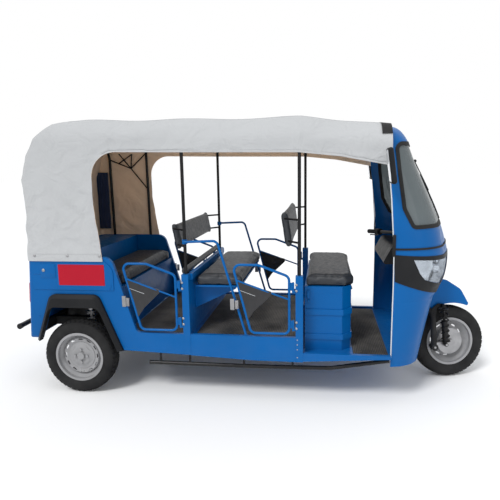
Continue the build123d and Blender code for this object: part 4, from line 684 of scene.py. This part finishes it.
def padded(obj, name, body, swell=0.018, voxel=0.009):
    """Foam pad in a tight cover: remeshed, puffed under pressure, its movement capped."""
    start = coordinates(obj)
    centre = (start.max(axis=0) + start.min(axis=0)) / 2
    half = (start.max(axis=0) - start.min(axis=0)) / 2
    move_to(obj, (start - centre) * (1 - PAD_INSET / half) + centre)
    add_modifier(obj, "REMESH", mode="VOXEL", voxel_size=voxel)
    add_modifier(obj, "SMOOTH", factor=0.5, iterations=3)
    start = coordinates(obj)
    work_on(obj)
    bpy.ops.object.modifier_add(type="CLOTH")
    cloth = obj.modifiers[-1]
    cloth.settings.use_pressure = True
    cloth.settings.uniform_pressure_force = PRESSURE
    cloth.settings.effector_weights.gravity = 0
    for step in range(1, CLOTH_STEPS + 1):
        bpy.context.scene.frame_set(step)
    bpy.ops.object.modifier_apply(modifier=cloth.name)
    bpy.context.scene.frame_set(1)
    move = coordinates(obj) - start
    far = np.linalg.norm(move, axis=1, keepdims=True)
    move *= np.minimum(1, swell / np.maximum(far, 1e-9))
    end = start + move
    end[:, 2] = np.maximum(end[:, 2], start[:, 2].min())
    move_to(obj, end)
    smooth(obj, 60)
    settle(obj, name, "seat_cover", body)
    return obj


# %% Piping round a pad
def piping(obj, height_share, radius=0.0028, count=96):
    """Corded seam round a pad at a share of its height, found by rays from outside."""
    co = coordinates(obj)
    low, high = co.min(axis=0), co.max(axis=0)
    z = low[2] + height_share * (high[2] - low[2])
    cx, cy = (low[0] + high[0]) / 2, (low[1] + high[1]) / 2
    hx, hy = (high[0] - low[0]) / 2, (high[1] - low[1]) / 2
    points = []
    for k in range(count):
        t = 2 * math.pi * k / count
        c, s = math.cos(t), math.sin(t)
        reach = max(abs(c), abs(s))
        edge = Vector((cx + hx * 1.3 * c / reach, cy + hy * 1.05 * s / reach, z))
        inner = Vector((cx + hx * 0.5 * c / reach, cy + hy * 0.9 * s / reach, z))
        p = hit(obj, edge, (inner - edge).normalized())
        if p:
            points.append(p)
    return strand(points, radius, closed=True)


# %% Benches and the driver's seat
for index, pad in enumerate(split_solids(copy_of("bench_cushions"))):
    obj = padded(pad, f"bench_pad_{index}", BODY["bench_cushions"])
    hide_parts("bench_cushions")
    cords = [piping(obj, share) for share in (0.72, 0.16)]
    join(cords, f"bench_piping_{index}", "seat_cover", BODY["bench_cushions"])
obj = padded(copy_of("driver_cushion"), "driver_pad", BODY["driver_cushion"], swell=0.014)
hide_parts("driver_cushion")
join([piping(obj, 0.8), piping(obj, 0.14)], "driver_piping", "seat_cover", BODY["driver_cushion"])

# %% Backrests and the grab pad
print("driver pad faces", len(obj.data.polygons))
stays = []
for index, solid in enumerate(split_solids(copy_of("backrests"))):
    co = coordinates(solid)
    if co[:, 1].max() - co[:, 1].min() < 0.5:
        stays.append(solid)
        continue
    obj = padded(solid, f"backrest_pad_{index}", BODY["backrests"], swell=0.010)
    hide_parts("backrests")
stays = join(stays, "backrest_stays", "black_paint", BODY["backrests"])
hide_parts("backrests")
obj = padded(copy_of("grab_roll"), "grab_pad", BODY["grab_roll"], swell=0.004, voxel=0.006)
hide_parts("grab_roll")
print("grab pad faces", len(obj.data.polygons))

# %% [markdown]
# ## Door pouches
# Each low tube door carries a triangular cloth pouch, tied to the tubes round its edge and slack in its
# middle. It is cut into a grid like the canopy and bellies out by a product of two sines, which is
# nought at the tied edges. A pale stitch line crosses its upper corner.

# %% How a pouch hangs
BELLY = 7
WRINKLE = 2.2


def slack(co, low, high, side):
    """Bellies a pouch outwards and wrinkles it."""
    share = (co - low) / (high - low)
    belly = np.sin(np.clip(share[:, 0], 0, 1) * math.pi) * np.sin(np.clip(share[:, 2], 0, 1) * math.pi)
    wrinkle = np.sin(share[:, 0] * 19 + share[:, 2] * 7) * 0.8
    wrinkle = wrinkle + np.sin(share[:, 2] * 23 - share[:, 0] * 9) * 0.6
    out = co.copy()
    out[:, 1] -= side * (belly * (BELLY + WRINKLE * wrinkle)) * MM
    return out


# %% Four pouches
DOORS = ("rear_right", "rear_left", "front_right", "front_left")
STITCH_START = {"rear": 402, "front": 1165}
STITCH_LENGTH = 100
STITCH_TOP = 772
STITCH_FALL = 37
STITCH_POINTS = 12
for name in DOORS:
    node = "pouch_" + name
    side = -1 if name.endswith("right") else 1
    pouch = copy_of(node)
    merge(pouch)
    low, high = (np.array(v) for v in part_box(node))
    for axis in (0, 2):
        slice_grid(pouch, axis, low[axis], high[axis], 0.014)
    move_to(pouch, slack(coordinates(pouch), low, high, side))
    smooth(pouch, 50)
    settle(pouch, node + "_cloth", "black_canvas", BODY[node])
    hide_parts(node)
    start = STITCH_START[name.split("_")[0]]
    rows = []
    for k in range(STITCH_POINTS):
        share = k / (STITCH_POINTS - 1)
        x, z = start + share * STITCH_LENGTH, STITCH_TOP - share * STITCH_FALL
        p = hit(pouch, (at(x, 0, 0).x, side * 0.7, z * MM), (0, -side, 0))
        if p:
            rows.append(p + Vector((0, side * 0.0004, 0)))
    if len(rows) > 2:
        join([strand(rows, 0.0012)], node + "_stitch", "beading", BODY[node])
    print(node, "faces", len(pouch.data.polygons))

# %% [markdown]
# ## Tyres
# The treads have a rib of blocks along the middle and a row on each shoulder. The tyre's core is the CAD
# ring, drawn in by the depth of the tread. One block is a cube with bevelled edges, and its copies are
# turned round the wheel's joint, so that the treads always agree with the axle.

# %% Where a wheel lies
joints = {row["name"]: row for row in frame["record"]["behaviour"]["joints"]}
TYRE_R = 0.266
TREAD_DEPTH = 0.0055
TREAD_FROM = 0.016
TREAD_EASE = 0.012
BLOCK_COUNT = 46
BLOCK_FILL = 0.80
BLOCK_HEIGHT = 0.011
TREAD_ROWS = ((-0.034, 0.0250, 0.0, 0.0060), (0, 0.0270, 0.5, 0.0026), (0.034, 0.0250, 0.0, 0.0060))


def wheel_frame(joint):
    """Matrix that carries a wheel lying round the Y axis to its joint."""
    row = joints[joint]
    axis = Vector(row["axis"]).normalized()
    turn = Vector((0, 1, 0)).rotation_difference(axis)
    return Matrix.Translation(Vector(row["pos_m"])) @ turn.to_matrix().to_4x4()


# %% One block of tread
def tread_block(width, length, height):
    """One bevelled rubber block."""
    bpy.ops.mesh.primitive_cube_add(size=1)
    obj = bpy.context.object
    obj.scale = (length, width, height)
    bpy.ops.object.transform_apply(location=False, rotation=False, scale=True)
    add_modifier(obj, "BEVEL", width=0.0012, segments=1)
    return obj


# %% A tyre
def tyre(node, joint, name):
    """Tyre core drawn in at the tread, with three rows of blocks standing to full size."""
    m = wheel_frame(joint)
    core = copy_of(node)
    merge(core)
    back = np.array(m.inverted())
    co = coordinates(core)
    local = co @ back[:3, :3].T + back[:3, 3]
    radius = np.hypot(local[:, 0], local[:, 2])
    draw = 1 - np.clip((radius - (TYRE_R - TREAD_FROM)) / TREAD_EASE, 0, 1) * TREAD_DEPTH / radius
    local[:, 0] *= draw
    local[:, 2] *= draw
    there = np.array(m)
    move_to(core, local @ there[:3, :3].T + there[:3, 3])
    blocks = []
    pitch = 2 * math.pi * TYRE_R / BLOCK_COUNT
    for y, width, phase, drop in TREAD_ROWS:
        first = tread_block(width, pitch * BLOCK_FILL, BLOCK_HEIGHT)
        for k in range(BLOCK_COUNT):
            obj = first if k == BLOCK_COUNT - 1 else first.copy()
            if obj is not first:
                obj.data = first.data.copy()
                bpy.context.scene.collection.objects.link(obj)
            angle = (k + phase) * 2 * math.pi / BLOCK_COUNT
            tilt = math.copysign(0.12, y) if y else 0
            reach = TYRE_R - 0.0056 - drop
            seat = Matrix.Rotation(angle, 4, "Y") @ Matrix.Translation((0, y, reach))
            lean = Matrix.Rotation(-tilt * 2.2, 4, "X") @ Matrix.Rotation(0.22 if y else -0.22, 4, "Z")
            obj.matrix_world = m @ seat @ lean
            blocks.append(obj)
    for obj in blocks:
        work_on(obj)
        bpy.ops.object.transform_apply(location=True, rotation=True, scale=True)
    tread = join(blocks, name + "_tread", "tyre", BODY[node], angle=30)
    smooth(core, 30)
    settle(core, name, "tyre", BODY[node])
    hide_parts(node)
    return tread


# %% Three tyres
tyre("rear_tyre_right", "rear_wheel_right_spin", "rear_right_tyre")
tyre("rear_tyre_left", "rear_wheel_left_spin", "rear_left_tyre")
front_tread = tyre("front_tyre", "front_wheel_spin", "front_wheel_tyre")
print("faces of the front tread", len(front_tread.data.polygons))

# %% [markdown]
# ## Plates and bolts
# Most small fittings are pressed plates and domed bolt heads. A plate is a cube with bevelled edges. A
# bolt head is a cylinder whose outer face is inset and drawn up into a dome. Both are seated by rays
# on the panel that carries them, so that none hangs in the air.

# %% Plates and bolt heads
def plate(x0, x1, y0, y1, z0, z1, bevel=0.002):
    """Bevelled plate between two corners given in millimetres."""
    low, high = at(x0, y0, z0), at(x1, y1, z1)
    bpy.ops.mesh.primitive_cube_add(size=1, location=(low + high) / 2)
    obj = bpy.context.object
    obj.scale = high - low
    bpy.ops.object.transform_apply(location=True, rotation=True, scale=True)
    add_modifier(obj, "BEVEL", width=bevel, segments=2)
    return obj


def stud(place, aim, radius, height):
    """Domed bolt head: a cylinder whose outer face is inset and drawn up."""
    turn = Vector((0, 0, 1)).rotation_difference(Vector(aim).normalized())
    bpy.ops.mesh.primitive_cylinder_add(vertices=14, radius=radius, depth=height)
    obj = bpy.context.object
    bpy.ops.object.mode_set(mode="EDIT")
    bpy.ops.mesh.select_all(action="DESELECT")
    bpy.ops.object.mode_set(mode="OBJECT")
    for face in obj.data.polygons:
        face.select = face.normal.z > 0.9
    bpy.ops.object.mode_set(mode="EDIT")
    bpy.ops.mesh.inset(thickness=radius * 0.35)
    bpy.ops.transform.translate(value=(0, 0, height * 0.5))
    bpy.ops.object.mode_set(mode="OBJECT")
    obj.matrix_world = Matrix.Translation(place) @ turn.to_matrix().to_4x4()
    bpy.ops.object.transform_apply(location=True, rotation=True, scale=True)
    return obj


# %% Snap studs of the canopy
STUD_PLACES = (-276, -33, 200)
STUD_HEIGHT = 0.994
studs = []
for side in (-1, 1):
    for x in STUD_PLACES:
        p = hit(canopy, (at(x, 0, 0).x, side * 0.75, STUD_HEIGHT), (0, -side, 0))
        if p:
            studs.append(stud(p + Vector((0, side * 0.001, 0)), (0, side, 0), 0.009, 0.005))
join(studs, "canopy_studs", "steel", BODY["canopy"])

print("studs", len(studs))

# %% Bolts of the door posts
HINGE_BOLTS = ((769, (526, 568, 774, 816)), (1534, (518, 560, 773, 813)))
FOOT_BOLTS = ((765, (383, 434)), (1540, (374, 407, 440, 319)))


def post_bolts(table, nodes, radius, height):
    """Bolt heads in rows of X and heights, on the first of some nodes that a level ray meets."""
    made = []
    for side in (-1, 1):
        for x, heights in table:
            for z in heights:
                start = (at(x, 0, 0).x, side * 0.75, z * MM)
                places = [hit(NODES[node], start, (0, -side, 0)) for node in nodes]
                found = [p for p in places if p]
                if found:
                    made.append(stud(found[0], (0, side, 0), radius, height))
    return made


bolts = post_bolts(HINGE_BOLTS, ("door_hinges", "door_posts"), 0.0085, 0.005)
bolts += post_bolts(FOOT_BOLTS, ("door_posts",), 0.0045, 0.003)
join(bolts, "post_bolts", "steel", BODY["door_posts"])
print("bolts", len(bolts))

# %% [markdown]
# ## Lines on the quarter panels
# Pressed beads run round the rear quarter, a filler flap with a lock sits above them, and a pale edging
# closes the cab's rear edge. Each is laid along the panel's outside by level rays from the side.

# %% Finding the outside
def on_side(nodes, x, z, side, lift=0.0):
    """Place on the outer side of the first node that a level ray from the side meets."""
    best = None
    for node in nodes:
        p = hit(NODES[node], (at(x, 0, 0).x, side * 0.9, z * MM), (0, -side, 0))
        if p and (best is None or abs(p.y) > abs(best.y)):
            best = p
    return best + Vector((0, side * lift, 0)) if best and best.y * side > 0.3 else None


def side_line(nodes, corners, side, radius, lift, step=12):
    """Strand laid along the side of some nodes through corners given as X and Z in millimetres."""
    rows = []
    for (x0, z0), (x1, z1) in zip(corners, corners[1:]):
        count = max(2, int(math.hypot(x1 - x0, z1 - z0) / step))
        for k in range(count):
            t = k / count
            p = on_side(nodes, x0 + t * (x1 - x0), z0 + t * (z1 - z0), side, lift)
            if p:
                rows.append(p)
    p = on_side(nodes, *corners[-1], side, lift)
    return strand(rows + ([p] if p else []), radius)


# %% Beads, flaps, locks and edging
BEAD_LINES = (
    [(-296, 862), (-150, 862)],
    [(-296, 751), (236, 751), (262, 762), (268, 790)],
    [(-296, 556), (-284, 556)],
)
EDGE_LINE = [(2102, 1552), (2122, 1350), (2139, 1150), (2145, 1000), (2146, 800), (2144, 330)]
CAB = ["front_cowl", "cab_upper"]
beads, flaps, locks, edging, pads = [], [], [], [], []
for side in (-1, 1):
    quarter = ["quarter_panels"]
    beads += [side_line(quarter, corners, side, 0.0036, -0.0006) for corners in BEAD_LINES]
    p = on_side(quarter, -190, 886, side)
    flaps.append(plate(-246, -134, p.y / MM - 1, p.y / MM + side * 2.5, 836, 937, 0.0012))
    locks.append(stud(p + Vector((-0.032, side * 0.003, 0.004)), (0, side, 0), 0.011, 0.005))
    edging.append(side_line(CAB, EDGE_LINE, side, 0.0038, 0.001))
    p = on_side(CAB, 2146, 1060, side)
    pads.append(plate(2134, 2154, p.y / MM - side * 2, p.y / MM + side * 9, 1000, 1138, 0.003))
join(beads, "quarter_beads", "blue_paint", BODY["quarter_panels"])
join(flaps, "filler_flaps", "blue_paint", BODY["quarter_panels"], angle=30)
join(locks, "flap_locks", "steel", BODY["quarter_panels"])
join(edging, "door_edging", "beading", BODY["front_cowl"])
join(pads, "door_edge_pads", "rubber", BODY["front_cowl"])
print("beads", len(beads), "edge pads", len(pads))

# %% [markdown]
# ## Catches
# Every door closes on a steel catch. One plate stays on the body and its partner swings with the door,
# so the two are separate pieces that ride on different bodies.

# %% Catches and the box's hasp
BODY_CATCHES = (340, 1098)
DOOR_CATCHES = {"rear": 372, "front": 1130}
catches = []
for side in (-1, 1):
    for x in BODY_CATCHES:
        p = on_side(["quarter_panels", "jamb_tubes"], x + 8, 680, side) or Vector((0, side * 0.6, 0))
        catches.append(plate(x, x + 28, p.y / MM - side * 3, p.y / MM + side * 7, 640, 716, 0.002))
join(catches, "catch_plates", "steel", BODY["quarter_panels"])
for name in DOORS:
    side = -1 if name.endswith("right") else 1
    x = DOOR_CATCHES[name.split("_")[0]]
    bits = [plate(x, x + 22, side * 588, side * 603, 646, 704, 0.002)]
    bits += [stud(at(x + 11, side * 603, z), (0, side, 0), 0.005, 0.004) for z in (690, 660)]
    join(bits, "catch_" + name, "steel", BODY["door_" + name])

hasp = [plate(1600, 1617, -486, -482, 700, 752, 0.001), plate(1603, 1614, -492, -482, 672, 690, 0.002)]
join(hasp, "box_hasp", "blue_paint", BODY["seat_box"])
print("catches", len(catches))

# %% [markdown]
# ## Window flaps
# A dark flap hangs inside the hood on both sides. It starts as a flat grid, because a grid has the rows of
# points that ripples need. The points are moved by two sines, and a modifier gives it its thickness.

# %% Window flaps
FLAP_REAR_X = -330
FLAP_WIDTH = 0.112
FLAP_HALF = 0.534
FLAP_LOW = 1.046
FLAP_HEIGHT = 0.508
flaps = []
for side in (-1, 1):
    bpy.ops.mesh.primitive_grid_add(x_subdivisions=16, y_subdivisions=40, size=1)
    obj = bpy.context.object
    co = coordinates(obj)
    x, z = co[:, 0] + 0.5, co[:, 1] + 0.5
    new = np.zeros_like(co)
    ripple = 0.0035 * np.sin(x * 17) + 0.002 * np.sin(z * 14 + x * 5)
    new[:, 0] = at(FLAP_REAR_X, 0, 0).x + x * FLAP_WIDTH
    new[:, 1] = side * (FLAP_HALF + ripple)
    new[:, 2] = FLAP_LOW + z * FLAP_HEIGHT
    move_to(obj, new)
    add_modifier(obj, "SOLIDIFY", thickness=0.0025, offset=0)
    flaps.append(obj)
hung = join(flaps, "window_flaps", "dark_canvas", BODY["canopy"], angle=50)
print("flap faces", len(hung.data.polygons))

# %% [markdown]
# ## Wiper
# A single wiper hangs from the top of the curved windscreen. Its arm and its blade are strands through
# points lifted off the glass, so the blade follows the curve of the pane.

# %% Wiper
def on_glass(y, z, lift):
    """Place in front of the windscreen."""
    p = hit(NODES["windscreen_glass"], (2.5, y * MM, z * MM), (-1, 0, 0))
    return p + Vector((lift * 0.9, 0, lift * 0.4))


arm = [on_glass(-30 - k * 10, 1588 - k * 20, 0.012) for k in range(11)]
blade = [on_glass(-95 - k * 7, 1500 - k * 30, 0.006) for k in range(11)]
pivot = stud(on_glass(-30, 1590, 0.002), (0.9, 0, 0.4), 0.012, 0.022)
join([strand(arm, 0.0035), strand(blade, 0.005), pivot], "wiper", "black_plastic", BODY["windscreen_glass"])

# %% [markdown]
# ## Mirror glasses
# The CAD mirrors are solid housings. A thin bevelled pane is laid on the rear face of each, turned by the
# normal that a ray finds there.

# %% Mirror glasses
glasses = []
for side in (-1, 1):
    found, p, normal, index = NODES["mirrors"].ray_cast(Vector((0.5, side * 0.6585, 1.563)), Vector((1, 0, 0)))
    bpy.ops.mesh.primitive_cube_add(size=1)
    obj = bpy.context.object
    obj.scale = (0.084, 0.186, 0.0024)
    bpy.ops.object.transform_apply(location=False, rotation=False, scale=True)
    add_modifier(obj, "BEVEL", width=0.0011, segments=2)
    turn = Matrix(((0, normal.z, normal.x), (-1, 0, 0), (0, -normal.x, normal.z))).to_4x4()
    obj.matrix_world = Matrix.Translation(p) @ turn
    glasses.append(obj)
join(glasses, "mirror_glasses", "mirror", BODY["mirrors"])
print("mirror glasses", len(glasses))

# %% [markdown]
# ## Levers
# A hand lever lies below each grip and turns with the bar. It is a strand through five points: the pivot
# in the switch housing, the bend, the straight run along the grip, and the curled tip. The bar stands
# turned to the left, so the grip's line isn't read from its box: its longest direction is found from
# its own vertices. The lever stays behind the front of the grip, so the bar can turn to full lock.

# %% Levers
def grip_ends(side):
    """Inner and outer end of one grip with its switch housing."""
    co = coordinates(NODES["grips"])
    co = co[co[:, 1] * side > 0]
    middle = co.mean(axis=0)
    axis = np.linalg.svd(co - middle, full_matrices=False)[2][0]
    axis = axis * side * np.sign(axis[1])
    reach = (co - middle) @ axis
    return Vector(middle + axis * reach.min()), Vector(middle + axis * reach.max())


LEVER_POINTS = (
    # share of the grip's length, metres ahead, metres below
    (0.18, 0.004, 0.018), (0.33, 0.008, 0.027), (0.78, 0.008, 0.027), (0.92, 0.008, 0.026), (0.97, 0.008, 0.030),
)
levers = []
for side in (-1, 1):
    inner, outer = grip_ends(side)
    rows = [inner.lerp(outer, share) + Vector((ahead, 0, -drop)) for share, ahead, drop in LEVER_POINTS]
    levers.append(strand(rows, 0.0042))
join(levers, "levers", "black_plastic", BODY["handlebar"])
print("grip", [tuple(round(v, 3) for v in end) for end in grip_ends(-1)])

# %% [markdown]
# ## Stage
# The backdrop is white and the floor is a plain pale plane that keeps the shadow. Whiteness for the eye,
# for mirrors and for glass comes from the world's colour and not from stronger lamps, so the light on
# the vehicle stays at a plain level. A soft sun shapes the folds and two broad lamps lift the shade.

# %% Floor
bpy.ops.mesh.primitive_plane_add(size=160)
floor = bpy.context.object
floor.name = "floor"
mat, nodes, links, shader, place = tree("floor")
shader.inputs["Base Color"].default_value = (0.97, 0.97, 0.97, 1)
shader.inputs["Roughness"].default_value = 1.0
shader.inputs["Specular IOR Level"].default_value = 0.0
floor.data.materials.append(mat)
print("floor", tuple(floor.dimensions))

# %% World
world = bpy.data.worlds.new("soft_sky")
bpy.context.scene.world = world
world.use_nodes = True
nodes, links = world.node_tree.nodes, world.node_tree.links
sky = nodes["Background"]
sky.inputs["Color"].default_value = (0.97, 0.985, 1.0, 1)
sky.inputs["Strength"].default_value = 0.66
plain = nodes.new("ShaderNodeBackground")
plain.inputs["Color"].default_value = (1, 1, 1, 1)
plain.inputs["Strength"].default_value = 1.0
path = nodes.new("ShaderNodeLightPath")
seen = path.outputs["Is Camera Ray"]
for ray in ("Is Glossy Ray", "Is Transmission Ray"):
    either = nodes.new("ShaderNodeMath")
    either.operation = "MAXIMUM"
    links.new(seen, either.inputs[0])
    links.new(path.outputs[ray], either.inputs[1])
    seen = either.outputs[0]
mix = nodes.new("ShaderNodeMixShader")
links.new(seen, mix.inputs["Fac"])
links.new(sky.outputs["Background"], mix.inputs[1])
links.new(plain.outputs["Background"], mix.inputs[2])
links.new(mix.outputs["Shader"], nodes["World Output"].inputs["Surface"])

print("sky strength", sky.inputs["Strength"].default_value)

# %% Lamps
bpy.ops.object.light_add(type="SUN", location=(-2, -4, 6))
sun = bpy.context.object
sun.name = "soft_sun"
sun.data.energy = 1.8
sun.data.angle = math.radians(18)
sun.rotation_euler = Vector((0.55, 1.0, -1.25)).to_track_quat("-Z", "Y").to_euler()
for name, spot, power, size in (("fill", (3.4, -3.2, 2.4), 22, 3.0), ("top", (0, 0.5, 5.5), 30, 5.0)):
    bpy.ops.object.light_add(type="AREA", location=spot)
    lamp = bpy.context.object
    lamp.name = name
    lamp.data.energy = power
    lamp.data.size = size
    lamp.rotation_euler = (Vector((0, 0, 0.9)) - Vector(spot)).to_track_quat("-Z", "Y").to_euler()

# %% [markdown]
# ## Camera
# The picture is taken from the right, a little ahead of the middle and above eye level. The place, the
# turns and the lens come from fitting known points of the vehicle to a photograph. The turns are
# written as one matrix, because a slight roll can't be given by aiming the camera at a point.

# %% Camera
CAMERA = at(1697.7, -3651.6, 1553.8)
YAW, PITCH, ROLL = (math.radians(v) for v in (8.59, 9.40, -1.04))
forward = Vector((-math.sin(YAW) * math.cos(PITCH), math.cos(YAW) * math.cos(PITCH), -math.sin(PITCH)))
right = Vector((math.cos(YAW), math.sin(YAW), 0))
up = right.cross(forward)
turn_right = math.cos(ROLL) * right + math.sin(ROLL) * up
turn_up = -math.sin(ROLL) * right + math.cos(ROLL) * up
bpy.ops.object.camera_add(location=CAMERA)
camera = bpy.context.object
camera.name = "camera"
camera.matrix_world = Matrix((
    (turn_right.x, turn_up.x, -forward.x, CAMERA.x),
    (turn_right.y, turn_up.y, -forward.y, CAMERA.y),
    (turn_right.z, turn_up.z, -forward.z, CAMERA.z),
    (0, 0, 0, 1),
))
camera.data.lens = 34.82
camera.data.sensor_width = 36
bpy.context.scene.camera = camera
bpy.context.scene.view_settings.view_transform = "Standard"
bpy.ops.object.select_all(action="DESELECT")
print("camera", tuple(round(v, 3) for v in camera.matrix_world.translation))
